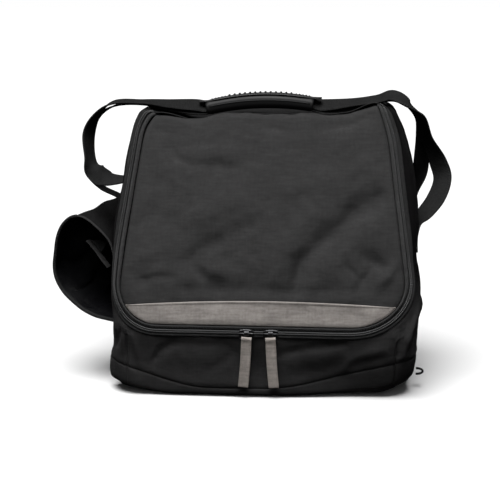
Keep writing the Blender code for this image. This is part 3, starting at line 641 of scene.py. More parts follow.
def moulded(name, dark, light, rough, spec=0.5, grain=900.0, depth=0.00008, coat=0.0):
    """Rubber or plastic with a fine cast grain and rubbed patches."""
    look = Look(name, rough[1], spec, coat=coat)
    rubbed = look.noise(30.0, 4.0)
    look.colour(dark, light, rubbed)
    look.roughness(rough[0], rough[1], rubbed)
    look.bump(look.noise(grain, 2.0), depth)
    return look.made


def painted_metal(name):
    """Black lacquered zinc, worn brighter here and there."""
    look = Look(name, 0.3, 0.5, metallic=0.85)
    worn = look.noise(260.0, 4.0)
    look.colour((0.012, 0.012, 0.013), (0.16, 0.16, 0.165), look.math("POWER", worn, 3.0))
    look.roughness(0.22, 0.42, worn)
    look.bump(look.noise(1400.0, 2.0), 0.00004)
    return look.made


NYLON_WEAVE = (0.0013, 0.00016)  # pitch and depth of the bag's cloth
WALL_SHADES = ((0.002, 0.0018, 0.002), (0.0225, 0.0214, 0.0219))


def make_looks():
    return {
        "nylon": woven("nylon", (0.002, 0.0019, 0.002), (0.0245, 0.0238, 0.0240), *NYLON_WEAVE, sheen=0.06),
        "wall": woven("wall_nylon", *WALL_SHADES, *NYLON_WEAVE, sheen=0.04),
        # The sides above the front wall: the wall's cloth with painted shade that darkens it towards the top.
        "gusset": woven("gusset_nylon", *WALL_SHADES, *NYLON_WEAVE, sheen=0.02, painted_shade=(0.092, 0.150, 0.10)),
        # Painted shade: the pouch's cloth is darker than the bag's nylon, standing in for the shade the bag
        # casts on it.
        "pouch": woven(
            "pouch_nylon", (0.001, 0.001, 0.001), (0.0085, 0.0082, 0.0084), *NYLON_WEAVE, spec=0.15,
        ),
        # Painted shade: the top's cloth is darker than the rest of the nylon, standing in for the shade under
        # the grip and webbing.
        "top": woven("top_nylon", (0.002, 0.002, 0.002), (0.010, 0.0098, 0.010), *NYLON_WEAVE, spec=0.2),
        # Painted light: the roll is a lighter grey than the flap's nylon, standing in for the light on its
        # rounded top.
        "piping": woven(
            "piping", (0.010, 0.010, 0.0104), (0.040, 0.0396, 0.040), 0.0011, 0.00012, sheen=0.1,
        ),
        "tape": woven(
            "zip_tape", (0.006, 0.006, 0.0062), (0.018, 0.018, 0.0183), 0.0009, 0.00014, rib=0.8,
        ),
        "canvas": woven(
            "canvas", (0.190, 0.172, 0.158), (0.450, 0.414, 0.390), 0.0014, 0.00020, spec=0.2,
        ),
        "pull": woven(
            "pull_webbing", (0.280, 0.250, 0.226), (0.640, 0.580, 0.534), 0.0012, 0.00026, spec=0.2, rib=0.5,
        ),
        "webbing": woven(
            "webbing", (0.003, 0.003, 0.0031), (0.014, 0.014, 0.0142), 0.0020, 0.00030, spec=0.2, rib=0.7,
        ),
        "binding": woven(
            "binding", (0.002, 0.002, 0.0021), (0.010, 0.010, 0.0104), 0.0010, 0.00016, rib=0.8,
        ),
        # Painted shade: the lining is darkened to stand in for the shade inside the pouch and the bag.
        "lining": woven(
            "lining", (0.0010, 0.0010, 0.0013), (0.0036, 0.0036, 0.0046), 0.0007, 0.00005,
            rough=(0.32, 0.5), spec=0.18,
        ),
        "foam": woven("pad_cloth", (0.008, 0.008, 0.009), (0.030, 0.030, 0.032), 0.0009, 0.00010),
        # Painted light: the coil is lighter than the black tape, standing in for the highlights on its turns.
        "coil": moulded("zip_coil", (0.030, 0.030, 0.0305), (0.080, 0.080, 0.0805), (0.3, 0.45)),
        "rubber": moulded("rubber", (0.003, 0.003, 0.0033), (0.009, 0.009, 0.0094), (0.50, 0.66), spec=0.4),
        # Painted light: the plate's rubber is lighter than the tube's, standing in for the light on the grip's
        # top.
        "pad_rubber": moulded(
            "pad_rubber", (0.020, 0.020, 0.0205), (0.050, 0.050, 0.051), (0.3, 0.45), grain=500.0,
        ),
        "thread": moulded("thread", (0.012, 0.012, 0.0125), (0.040, 0.040, 0.041), (0.5, 0.7)),
        "pale_thread": moulded("pale_thread", (0.260, 0.235, 0.215), (0.480, 0.445, 0.415), (0.6, 0.8)),
        "metal": painted_metal("slider_metal"),
    }


# --- the flap's edge and the strips along it -----------------------------------------


def strip_out(outs, z, side):
    """An outward distance that grows from the run along the bottom to the sides, less so on the right."""
    bottom, high = outs
    return bottom + ((0.86 if side > 0 else 1.0) * high - bottom) * smooth_step(*SIDE_GROWTH, z)


def edge_at(z, side, out=0.0):
    """Distance from the middle of the front to the flap's edge at a height, moved outwards."""
    start, reach, rise = FLAP_CORNERS[side]
    corner_z = FLAP_BOTTOM + rise
    if z >= corner_z:
        start, distance, lean, round_from, round_in = FLAP_SIDES[side]
        straight = distance - lean * (max(z, start) - start)
        return straight - round_in * (max(0.0, z - round_from) / 0.050) ** 2 + out
    drop = min(1.0, (corner_z - z) / (rise + out))
    return start + (reach + out) * math.sqrt(1 - drop**2)


def opening_at(z, side):
    """Distance to the walls' edge, which lies under the outer part of the zip's tape."""
    return edge_at(z, side, strip_out((BODY_TAPE[0][1], BODY_TAPE[1][1]), z, side) - OPENING_LAP)


def edge_path(top):
    """The edge's (distance, height) points from its top left, round the bottom, to its top right."""
    halves = []
    for side in (-1, 1):
        start, _, rise = FLAP_CORNERS[side]
        half = [(side * start * i / 8, FLAP_BOTTOM) for i in range(9)]
        corner_z = FLAP_BOTTOM + rise
        for step in range(1, 19):
            z = corner_z - rise * math.cos(math.pi / 2 * step / 18)
            half.append((side * edge_at(z, side), z))
        for z in spread(corner_z, top, 40)[1:]:
            half.append((side * edge_at(z, side), z))
        halves.append(half)
    return halves[0][:0:-1] + halves[1]


def edge_frames(outs, step, lift, top):
    """Places, outward directions and normals every step along a line beside the flap's edge."""
    flat = even_steps([(d, z, 0.0) for d, z in edge_path(top)], step)
    line = []
    for i, point in enumerate(flat):
        along = heading(flat, i)
        side = side_of(point.x)
        wobble = 0.0005 * mottle((point.x, point.y, 0.0), 22.0, 3.0)
        out = strip_out(outs, point.y, side) + wobble
        line.append((point.x + along.y * out, point.y - along.x * out, Vector((along.y, -along.x))))
    places, across, normals = [], [], []
    for d, z, away in line:
        here = over_rim(d, z, lift)
        places.append(here)
        across.append((over_rim(d + away.x * 0.001, z + away.y * 0.001, lift) - here).normalized())
        normals.append(skin_normal(d, z))
    return places, across, normals


def edge_strip(name, outs, profile, look, body, slot, step=0.003, lift=0.0, top=FLAP_TOP, shape=None):
    """A strip between two distances from the flap's edge; the profile runs from -1 to 1 across it."""
    (low, high), (side_low, side_high) = outs
    middle = ((low + high) / 2, (side_low + side_high) / 2)
    places, across, normals = edge_frames(middle, step, lift, top)
    halves = []
    for place in places:
        grown = smooth_step(*SIDE_GROWTH, place.z)
        halves.append(((high - low) + (side_high - side_low - high + low) * grown) / 2)
    scaled = [a * half for a, half in zip(across, halves)]
    return sweep(name, places, scaled, normals, profile, look, body, slot, shape=shape)


def coil(name, outs, phase, looks, body, top):
    """A row of nylon coil turns: a ridge across the strip at every pitch."""
    turns = 5

    def ridge(i):
        return 0.55 + 0.45 * math.cos(2 * math.pi * (i / turns + phase))

    profile = round_profile(1.0, 0.0013, 8, 2.4)
    step = COIL_PITCH / turns
    return edge_strip(name, outs, profile, looks["coil"], body, "zip_coil", step, 0.0012, top, ridge)


def edge_row(name, outs, lift, look, body, slot, top, **sizes):
    places, _, normals = edge_frames(outs, 0.004, lift, top)
    return stitches(name, places, normals, body, look, slot, **sizes)


def bend_at_hinge(piece):
    """Bakes the piece's placement into its mesh."""
    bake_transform(piece)
    return piece


def zip_pieces(looks):
    roll = round_profile(1.0, 0.0021, 12, 2.2)
    places = edge_frames((0.0017, 0.0036), 0.003, 0.0, FLAP_TOP)[0]
    full = [0.35 + 0.65 * smooth_step(0.088, 0.125, p.z) for p in places]
    look = looks["piping"]
    piping = edge_strip("flap_edge_roll", PIPING, roll, look, None, "piping", shape=lambda i: full[i])
    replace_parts(bend_at_hinge(piping), "flap_piping")
    flat = round_profile(1.0, 0.0006, 8, 4.0)
    tape = edge_strip("flap_tape", FLAP_TAPE, flat, looks["tape"], None, "zip_tape", lift=-0.0012)
    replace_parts(bend_at_hinge(tape), "flap_zip_tape")
    look = looks["tape"]
    tape = edge_strip("body_tape", BODY_TAPE, TAPE_PROFILE, look, "bag", "zip_tape", lift=0.0006, top=TAPE_TOP)
    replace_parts(tape, "body_zip_tape")
    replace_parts(bend_at_hinge(coil("flap_coil", FLAP_COIL, 0.0, looks, None, FLAP_TOP)), "flap_zip_coil")
    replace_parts(coil("body_coil", BODY_COIL, 0.5, looks, "bag", TAPE_TOP), "body_zip_coil")
    thread = looks["thread"]
    edge_row("tape_stitching", (0.0125, 0.0149), 0.0007, thread, "bag", "zip_tape", TAPE_TOP, wide=0.0003)
    row = edge_row("roll_stitching", (0.0031, 0.0063), 0.0008, thread, None, "piping", FLAP_TOP, wide=0.0003)
    bend_at_hinge(row)


# --- the bag's walls -----------------------------------------------------------------

OPEN_BOTTOM = FLAP_BOTTOM - BODY_TAPE[0][1] + OPENING_LAP
SIDE_SHARES = 44
BACK_SHARES = 20


def bottom_radius(distance):
    """The lower edge is rounder at the bag's corners than along its sides."""
    return 0.0072 + 0.0085 * bell(abs(distance), 0.187, 0.035)


def stand(distance):
    """How high the lower edge stands off the ground: the soft front corners do not quite reach it."""
    gone = abs(distance)
    rear = 1 - 0.6 * smooth_step(0.20, 0.34, gone)
    if distance > 0:
        return (0.0060 * smooth_step(0.03, 0.14, gone) + 0.0062 * smooth_step(0.135, 0.180, gone)) * rear
    return 0.0064 * smooth_step(0.100, 0.175, gone) * rear


def wall_levels(distance):
    """(height, depth) of each row below the flap's opening, at a distance round the bag."""
    radius, base = bottom_radius(distance), stand(distance)
    seam = max(seam_height(distance), base + radius * 0.7)
    rows = []
    for step in range(5):
        turn = math.pi / 2 * step / 4
        rows.append((base + radius * (1 - math.cos(turn)), radius * (1 - math.sin(turn))))
    top = base + radius
    rows += [(z, 0.0) for z in spread(top, max(top + 0.001, seam - 0.0020), 4)[1:]]
    start = rows[-1][0]
    rows += [(start + step, 0.0) for step in (0.0011, 0.0020, 0.0029)]
    rows += [(z, 0.0) for z in spread(start + 0.0042, OPEN_BOTTOM, 15)]
    return rows


def open_levels():
    """Heights of the rows beside the opening, measured along the cloth to the end of the rim."""
    corner = [OPEN_BOTTOM + 0.058 * (1 - math.cos(math.pi / 2 * step / 13)) for step in range(1, 14)]
    straight = corner + spread(corner[-1], RIM_START, 48)[1:]
    return straight + spread(RIM_START, RIM_END, 7)[1:]


def side_distances(z, side, start):
    """Distances of the columns from start round to the middle of the back."""
    _, side_start, side_end, rear_end, back_middle = stops(z, side)
    low = FLAP_CORNERS[side][0]
    reach = side_start - low
    first = [low + (CORNER_SEAM - 0.004 - low) * i / 16 for i in range(17)]
    first += [CORNER_SEAM + step for step in (-0.0018, -0.0008, 0.0, 0.0008, 0.0018)]
    first += spread(CORNER_SEAM + 0.004, side_start, 14)
    found = [start + (d - low) / reach * (side_start - start) for d in first]
    found += spread(side_start, side_end, SIDE_SHARES)[1:]
    found += spread(side_end, rear_end, 7)[1:]
    found += spread(rear_end, back_middle, BACK_SHARES)[1:]
    return found


def wall_lift(distance, z):
    """Relief of the walls: seams pulled in, cloth standing out between them, folds and unevenness."""
    gone, side = abs(distance), side_of(distance)
    _, side_start, side_end, rear_end, back_middle = stops(z, side)
    seam = seam_height(distance)
    lift = -0.0012 * bell(z, seam, 0.0008) + 0.0006 * bell(z, seam + 0.006, 0.004)
    fade = smooth_step(0.0, 0.01, z) * (1 - smooth_step(OPEN_BOTTOM - 0.012, OPEN_BOTTOM, z))
    lift -= 0.0021 * bell(gone, CORNER_SEAM, 0.0010) * fade
    if gone < side_start:
        lift += (0.0070 - 0.0115 * smooth_step(-0.02, 0.17, distance)) * (1 - smooth_step(0.0, 0.065, z))
    lift -= 0.0011 * bell(gone, rear_end - 0.004, 0.0035)
    calm = smooth_step(0.0, 0.02, z) * (1 - smooth_step(HEIGHT - 0.030, HEIGHT, z))
    if z > OPEN_BOTTOM:
        calm *= smooth_step(0.0, 0.010, gone - opening_at(z, side))
    else:
        beside = smooth_step(0.0, 0.010, gone - opening_at(OPEN_BOTTOM, side))
        calm *= max(0.2 + 0.8 * smooth_step(0.0, 0.005, OPEN_BOTTOM - z), beside)
    low = fold_lift(WALL_FOLDS, distance, z)
    sag = 0.0022 * math.sin(math.pi * max(0.0, min(1.0, (gone - rear_end) / (back_middle - rear_end))) / 2)
    if side_start < gone < side_end:
        sag = 0.0020 * math.sin(math.pi * (gone - side_start) / (side_end - side_start))
    spot = Vector((distance, z, 0.4 if distance > 0 else -0.4))
    return lift + calm * (low + sag + crumple(spot, 0.0018))


def wall_pair(distance, z, depth):
    """A point of the walls below the rim and its place; where depth is above 0 they are turning under."""
    lift = wall_lift(distance, z) if depth < 0.004 else 0.0
    return skin(distance, z, lift - depth), (distance, z - depth)


def wall_cloth(place, other):
    """Which look a face of the walls has: above the front wall, the sides are a cloth with painted shade,
    darker towards the top.
    """
    gone, z = abs(place[0] + other[0]) / 2, place[1]
    _, _, side_end, rear_end, _ = stops(min(z, RIM_START), 1 if place[0] > 0 else -1)
    return 2 if z > OPEN_BOTTOM and gone < (side_end + rear_end) / 2 else 0


def bag_walls(looks):
    mesh = bmesh.new()
    for side in (-1, 1):
        start = FLAP_CORNERS[side][0]
        front = spread(0.0, start, 34)
        levels = [wall_levels(side * d) for d in front]
        rows = []
        for row in range(len(levels[0])):
            rows.append([wall_pair(side * d, *levels[k][row]) for k, d in enumerate(front)])
        lay_grid(mesh, rows)
        rough = side_distances(0.05, side, start)
        levels = [wall_levels(side * d) for d in rough]
        rows = []
        for row in range(len(levels[0])):
            line = []
            for k in range(len(rough)):
                z, depth = levels[k][row]
                line.append(wall_pair(side * side_distances(z, side, start)[k], z, depth))
            rows.append(line)
        for gone_up in open_levels():
            level = min(gone_up, RIM_START)
            line = [side * d for d in side_distances(level, side, opening_at(gone_up, side))]
            rows.append([(over_rim(d, gone_up, wall_lift(d, level)), (d, gone_up)) for d in line])
        lay_grid(mesh, rows, wall_cloth)
    bmesh.ops.remove_doubles(mesh, verts=mesh.verts, dist=0.00002)
    close_underside(mesh)
    cloths = [looks["wall"], looks["lining"], looks["gusset"], looks["lining"]]
    walls = add_piece("bag_walls", mesh, cloths, "bag")
    thicken(walls, CLOTH, 1)
    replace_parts(walls, "bottom_panel", "base_band", "front_wall", "left_gusset", "right_gusset", "back_panel")


UNDER_RISE = ((0.30, 0.07), (0.50, 0.15), (0.71, 0.50), (0.846, 0.81), (0.94, 0.96), (1.0, 1.0))


def under_rise(x, y):
    """How far the underside is lifted at a place, from the lift of the edge nearest to it."""
    across, along = abs(x) / HALF_BASE, abs(y) / HALF_DEPTH
    gone = abs(x) if along > across and y < 0 else HALF_BASE - 0.020 + max(0.0, y + HALF_DEPTH)
    return stand(math.copysign(gone, x)) * follow(UNDER_RISE, max(across, along))


def close_underside(mesh):
    """Fills the open loop under the bag with rings that shrink towards its middle."""
    edges = [e for e in mesh.edges if e.is_boundary and max(v.co.z for v in e.verts) < 0.0150]
    layer = mesh.loops.layers.uv.verify()
    for shrink, flatten in ((0.94, 0.96), (0.90, 0.84), (0.84, 0.62), (0.70, 0.30), (0.60, 0.50)):
        made = bmesh.ops.extrude_edge_only(mesh, edges=edges)["geom"]
        for vert in (v for v in made if isinstance(v, bmesh.types.BMVert)):
            vert.co.x *= shrink
            vert.co.y *= shrink
            vert.co.z *= flatten
        edges = [e for e in made if isinstance(e, bmesh.types.BMEdge)]
        for face in (f for f in made if isinstance(f, bmesh.types.BMFace)):
            for loop in face.loops:
                loop[layer].uv = (loop.vert.co.x, loop.vert.co.y)
    filled = bmesh.ops.contextual_create(mesh, geom=edges)["faces"]
    for face in filled:
        for loop in face.loops:
            loop[layer].uv = (loop.vert.co.x, loop.vert.co.y)


def top_panel(looks):
    """The top hangs from its rim, with a hollow under the grip."""
    inset = RIM_RADIUS - 0.0016
    front, back = 0.0006, HALF_DEPTH - inset
    rows = []
    for y in [front, front + 0.0015, front + 0.004] + spread(front + 0.008, back, 26):
        row = []
        for share in spread(-1.0, 1.0, 80):
            x = share * (half_width(HEIGHT - 0.001, side_of(share)) - inset)
            edge = min(1.0, (1 - abs(share)) * 8) * min(1.0, (back - y) / 0.010)
            hollow = smooth_step(0.0, 0.020, y - front) * (1 - smooth_step(0.060, 0.105, y))
            sink = 0.0016 + (0.0060 * hollow * (1 - abs(share) ** 3) - 0.0020) * edge
            z = HEIGHT - top_dip(x) * (1 - 0.5 * smooth_step(0.05, 0.10, y)) - sink
            row.append(((x, y, z + edge * crumple((x, y, 1.0), 0.0014)), (x, y)))
        rows.append(row)
    mesh = bmesh.new()
    lay_grid(mesh, rows)
    # The top's dark look is painted shade, standing in for the shadow of the grip.
    top = add_piece("top_cloth", mesh, [looks["top"], looks["lining"]], "bag")
    turn_towards(top, Vector((0, 0, 1)))
    thicken(top, 0.0016, 1)
    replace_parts(top, "top_panel")
    rim = []
    for share in spread(-0.95, 0.95, 60):
        x = share * (half_width(HEIGHT - 0.001, side_of(share)) - inset)
        rim.append(Vector((x, back - 0.0030, HEIGHT - top_dip(x) * 0.5 - 0.0002)))
    up = [Vector((0, 0, 1))] * len(rim)
    stitches("top_stitching", rim, up, "bag", looks["thread"], "nylon")


# --- the flap ------------------------------------------------------------------------


def flap_levels():
    rise = FLAP_CORNERS[1][2]
    low = FLAP_BOTTOM + 0.0002
    corner = [low + (rise - 0.0002) * (1 - math.cos(math.pi / 2 * step / 13)) for step in range(14)]
    return corner + spread(corner[-1], RIM_START, 76)[1:] + spread(RIM_START, FLAP_TOP, 6)[1:]


def flap_lift(distance, z):
    side = side_of(distance)
    inside = min(edge_at(z, side) - abs(distance), z - FLAP_BOTTOM)
    calm = smooth_step(0.0, 0.016, inside)
    tuck = -0.0016 * bell(inside, 0.0, 0.0022)
    above_trim = 0.0016 * bell(z, 0.121, 0.006) - 0.0018 * bell(z, 0.1285, 0.0035)
    above_trim *= smooth_step(0.02, 0.05, 0.15 - abs(distance - 0.01))
    pillow = 0.0024 * smooth_step(0.0, 0.07, inside)
    spot = (distance, z, 2.0)
    return tuck + pillow + calm * (fold_lift(FLAP_FOLDS, distance, z) + above_trim + crumple(spot, 0.0026))


def flap_surface(distance, gone_up, lift=0.0):
    """A point of the closed flap's cloth."""
    return over_rim(distance, gone_up, flap_lift(distance, min(gone_up, RIM_START)) + lift)


def flap(looks):
    rows = []
    for gone_up in flap_levels():
        row = []
        for share in spread(-1.0, 1.0, 128):
            d = share * edge_at(gone_up, side_of(share), 0.0004)
            row.append((flap_surface(d, gone_up), (d, gone_up)))
        rows.append(row)
    last = rows[-1]
    for back, down in ((0.0008, 0.0008), (0.0012, 0.0026)):
        rows.append([(point + Vector((0, back, -down)), (u, v + down)) for point, (u, v) in last])
    mesh = bmesh.new()
    lay_grid(mesh, rows)
    piece = add_piece("flap_cloth", mesh, [looks["nylon"], looks["lining"]])
    turn_towards(piece, Vector((0, -1, 0)))
    thicken(piece, 0.0018, 1)
    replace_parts(piece, "flap_panel")
    bend_at_hinge(piece)


def trim_edges(distance):
    """Lower and upper height of the contrasting crescent at a distance."""
    side = side_of(distance)
    start, reach, rise = FLAP_CORNERS[side]
    over = max(0.0, abs(distance) - start) / (reach - 0.0006)
    low = FLAP_BOTTOM + rise - (rise - 0.0003) * math.sqrt(max(0.0, 1 - over**2))
    fall = 0.0058 if side < 0 else 0.0046
    high = FLAP_BOTTOM + 0.0290 - fall * (abs(distance - 0.01) / 0.155) ** 2
    return low, high


def trim_tip(side):
    """The distance at which the crescent's two edges meet."""
    distance = 0.130
    while trim_edges(side * distance)[0] < trim_edges(side * distance)[1] - 0.0004:
        distance += 0.0002
    return distance


def trim(looks):
    left, right = trim_tip(-1), trim_tip(1)
    distances = []
    for share in spread(-1.0, 1.0, 150):
        reach = left if share < 0 else right
        distances.append(reach * math.copysign(math.sin(math.pi / 2 * abs(share)), share))
    rows = []
    for share in (0.0, 0.04, 0.15, 0.3, 0.45, 0.6, 0.74, 0.84, 0.90, 0.93, 0.97, 1.0):
        row = []
        for d in distances:
            low, high = trim_edges(d)
            z = low + (high - low) * share
            raised = 0.0004 * smooth_step(0.905, 0.935, share) - 0.0007 * smooth_step(0.965, 1.0, share)
            row.append((flap_surface(d, z, 0.0011 + raised), (d, z)))
        rows.append(row)
    mesh = bmesh.new()
    lay_grid(mesh, rows)
    piece = add_piece("grey_crescent", mesh, [looks["canvas"]], "flap")
    turn_towards(piece, Vector((0, -1, 0)))
    thicken(piece, 0.0008)
    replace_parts(piece, "flap_trim")
    line, normals = [], []
    for d in spread(-left + 0.006, right - 0.006, 140):
        low, high = trim_edges(d)
        line.append(flap_surface(d, high - (high - low) * 0.085, 0.0013))
        normals.append(skin_normal(d, high))
    stitches("crescent_stitching", line, normals, "flap", looks["pale_thread"], "canvas", wide=0.0003)


# --- padding inside ------------------------------------------------------------------

PAD_THICK = 0.005
PAD_POINTS = 33
QUILT_PITCH = 0.034


def pad(name, base, inward, thick, size, looks, body, node):
    """A thin quilted pad. base(u, v) is its outer face and inward its direction into the bag."""
    rows = columns = PAD_POINTS
    mesh = bmesh.new()
    layer = mesh.loops.layers.uv.verify()
    sheets = []
    for face in (0, 1):
        sheet = []
        for u in spread(0.0, 1.0, rows):
            line = []
            for v in spread(0.0, 1.0, columns):
                edge = min(u, 1 - u, v, 1 - v) * 14
                puff = min(1.0, edge) ** 0.5
                a, b = u * size[0], v * size[1]
                rising = abs(math.sin(math.pi * (a + b) / QUILT_PITCH))
                falling = abs(math.sin(math.pi * (a - b) / QUILT_PITCH))
                channels = rising * falling
                tall = (0.35 + 0.65 * puff * (0.55 + 0.45 * channels**0.4)) * thick
                line.append(mesh.verts.new(Vector(base(u, v)) + Vector(inward) * (tall if face else 0.0)))
            sheet.append(line)
        sheets.append(sheet)
    for sheet in sheets:
        for i in range(rows - 1):
            for j in range(columns - 1):
                corners = ((i, j), (i, j + 1), (i + 1, j + 1), (i + 1, j))
                made = mesh.faces.new([sheet[a][b] for a, b in corners])
                for loop, (a, b) in zip(made.loops, corners):
                    loop[layer].uv = (size[0] * a / (rows - 1), size[1] * b / (columns - 1))
    ring = [(0, j) for j in range(columns)] + [(i, columns - 1) for i in range(1, rows)]
    ring += [(rows - 1, j) for j in range(columns - 2, -1, -1)] + [(i, 0) for i in range(rows - 2, 0, -1)]
    for (a, b), (c, d) in zip(ring, ring[1:] + ring[:1]):
        mesh.faces.new((sheets[0][a][b], sheets[0][c][d], sheets[1][c][d], sheets[1][a][b]))
    piece = add_piece(name, mesh, [looks["foam"]], body)
    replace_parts(piece, node)


def inside_pads(looks):
    for side, name in ((-1, "left"), (1, "right")):

        def wall(u, v, side=side):
            z = 0.030 + (HEIGHT - 0.060) * v
            x = side * (half_width(z, side) - CLOTH - 0.0045)
            return (x, front_y(z) + 0.035 + (HALF_DEPTH - 0.025 - front_y(z) - 0.035) * u, z)

        pad(name + "_pad", wall, (-side, 0, 0), PAD_THICK, (0.12, 0.27), looks, "bag", name + "_foam")

    def back(u, v):
        z = 0.014 + (HEIGHT - 0.040) * v
        reach = half_width(z, -1) - 0.030
        return (-reach + 2 * reach * u, HALF_DEPTH - CLOTH - 0.0030, z)

    pad("back_pad", back, (0, -1, 0), PAD_THICK, (0.31, 0.29), looks, "bag", "back_board")

    def floor_face(u, v):
        x, y = -0.158 + 0.316 * u, -0.086 + 0.176 * v
        return (x, y, 0.0040 + under_rise(x, y))

    pad("floor_pad", floor_face, (0, 0, 1), PAD_THICK, (0.316, 0.176), looks, "bag", "floor_board")

    def front(u, v):
        z = 0.016 + (ZIP_HEIGHT - 0.024) * v
        return (-0.120 + 0.240 * u, -HALF_DEPTH + 0.0062, z)

    pad("front_pad", front, (0, 1, 0), PAD_THICK, (0.24, 0.05), looks, "bag", "front_foam")

    def lid(u, v):
        z = 0.112 + 0.190 * v
        reach = half_width(z, -1) - 0.045
        return skin(-reach + 2 * reach * u, z, -0.0068)

    pad("flap_pad", lid, (0, 0.92, -0.38), PAD_THICK, (0.27, 0.20), looks, "flap", "flap_foam")


# --- sliders and pulls ---------------------------------------------------------------

TAB_WIDTH = 0.0124
TAB_SEAM = 0.0048  # distance of the tab's sewn rows from its middle
TAB_STATIONS = 44


def pulls(looks):
    for name in ("left", "right"):
        for node in (name + "_slider", name + "_pull_link"):
            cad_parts[node].data.materials.clear()
            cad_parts[node].data.materials.append(looks["metal"])
        pull_tab(name, looks)


def pull_tab(name, looks):
    """A length of grey webbing folded round the link's bar, with rolled edges and a sewn box."""
    low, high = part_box(name + "_pull_tab")
    lean = (high.x - low.x - TAB_WIDTH) / (high.z - low.z) * (-1 if name == "left" else 1)
    middle_y = (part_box(name + "_pull_link")[0].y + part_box(name + "_pull_link")[1].y) / 2
    top_x = sum(c.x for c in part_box(name + "_pull_link")) / 2
    bar_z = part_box(name + "_pull_link")[0].z + 0.0007
    length = bar_z - low.z
    stations, normals, across = [], [], []
    for share in spread(-0.036, 1.0, TAB_STATIONS):
        drop = length * share
        bow = 0.0016 * math.sin(math.pi * max(0.0, share)) * (1 if name == "left" else -0.6)
        x = top_x + lean * drop + bow * 0.4
        stations.append(Vector((x, middle_y - 0.0004 * math.sin(5 * share), bar_z - drop)))
        normals.append(Vector((0, -1, 0)))
        across.append(Vector((1, 0, lean)).normalized())
    profile = webbing_profile(TAB_WIDTH, 0.0024, 0.00035)

    def swell(i):
        return 1.0 + 1.1 * bell(i / (TAB_STATIONS - 1), 0.036, 0.05)

    body, slot = name + "_pull", "pull_webbing"
    piece = sweep(name + "_tab", stations, across, normals, profile, looks["pull"], body, slot, shape=swell)
    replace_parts(piece, name + "_pull_tab")
    rows = []
    proud = Vector((0, -0.0016, 0))
    for offset in (-TAB_SEAM, TAB_SEAM):
        rows.append([p + a * offset + proud for p, a in zip(stations[5:-1], across[5:-1])])
    for k in (8, 40):
        rows.append([stations[k] + across[k] * u + proud for u in spread(-TAB_SEAM, TAB_SEAM, 5)])
    for k, row in enumerate(rows):
        facing = [Vector((0, -1, 0))] * len(row)
        label = f"{name}_tab_stitching_{k}"
        stitches(label, row, facing, body, looks["pale_thread"], slot, 0.0024, 0.0017, 0.00024)


def webbing_profile(width, thick, edge):
    """Flat webbing whose woven edges are a little thicker than its middle."""
    half, tall = width / 2, thick / 2
    top = [(-half, 0.0), (-half * 0.975, tall * 0.8 + edge * 0.5), (-half * 0.90, tall + edge)]
    top += [(-half * 0.80, tall), (-half * 0.4, tall * 0.96), (0.0, tall)]
    top += [(-u, v) for u, v in reversed(top[:-1])]
    return top + [(-u, -v) for u, v in top[1:-1]]


# --- grip and webbing ----------------------------------------------------------------


def grip_z(x):
    share = x / (GRIP_LENGTH / 2)
    return GRIP_END_Z + GRIP_ARCH * (1 - share**2) + GRIP_TILT * share


def grip_half_height(x):
    return 0.0088 + 0.0006 * (1 - min(1.0, abs(x) / (GRIP_LENGTH / 2)) ** 2)


def grip(looks):
    """A moulded rubber tube: fuller in the middle, with a lip at each end."""
    places, across, normals, scales = [], [], [], []
    for x in spread(-GRIP_LENGTH / 2, GRIP_LENGTH / 2, 75):
        places.append(Vector((GRIP_MIDDLE.x + x, GRIP_MIDDLE.y, grip_z(x))))
        slope = -2 * GRIP_ARCH * x / (GRIP_LENGTH / 2) ** 2 + GRIP_TILT / (GRIP_LENGTH / 2)
        across.append(Vector((0, 1, 0)))
        normals.append(Vector((-slope, 0, 1)).normalized())
        end = (GRIP_LENGTH / 2 - abs(x)) / 0.004
        lip = 1.0 + 0.05 * bell(abs(x), GRIP_LENGTH / 2 - 0.003, 0.002)
        scales.append(grip_half_height(x) * lip * min(1.0, 0.86 + 0.14 * end))
    profile = round_profile(GRIP_WIDTH / 2, 1.0, 32, 2.7)
    rubber = (looks["rubber"], "grip", "grip_rubber")
    body = sweep("grip_tube", places, across, normals, profile, *rubber, shape=lambda i: scales[i])
    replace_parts(body, "grip_body")
    groove = []
    for x in spread(-GRIP_LENGTH / 2 + 0.004, GRIP_LENGTH / 2 - 0.004, 50):
        groove.append(Vector((GRIP_MIDDLE.x + x, GRIP_MIDDLE.y - GRIP_WIDTH / 2 - 0.0002, grip_z(x) + 0.002)))
    sides = [Vector((0, 0, 1))] * len(groove)
    facing = [Vector((0, -1, 0))] * len(groove)
    ridge = round_profile(0.0007, 0.0005, 6)
    sweep("grip_part_line", groove, sides, facing, ridge, *rubber)
    grip_plate(looks)


def grip_top(x):
    """A point on top of the grip's tube."""
    return Vector((GRIP_MIDDLE.x + x, GRIP_MIDDLE.y, grip_z(x) + grip_half_height(x) + 0.0006))


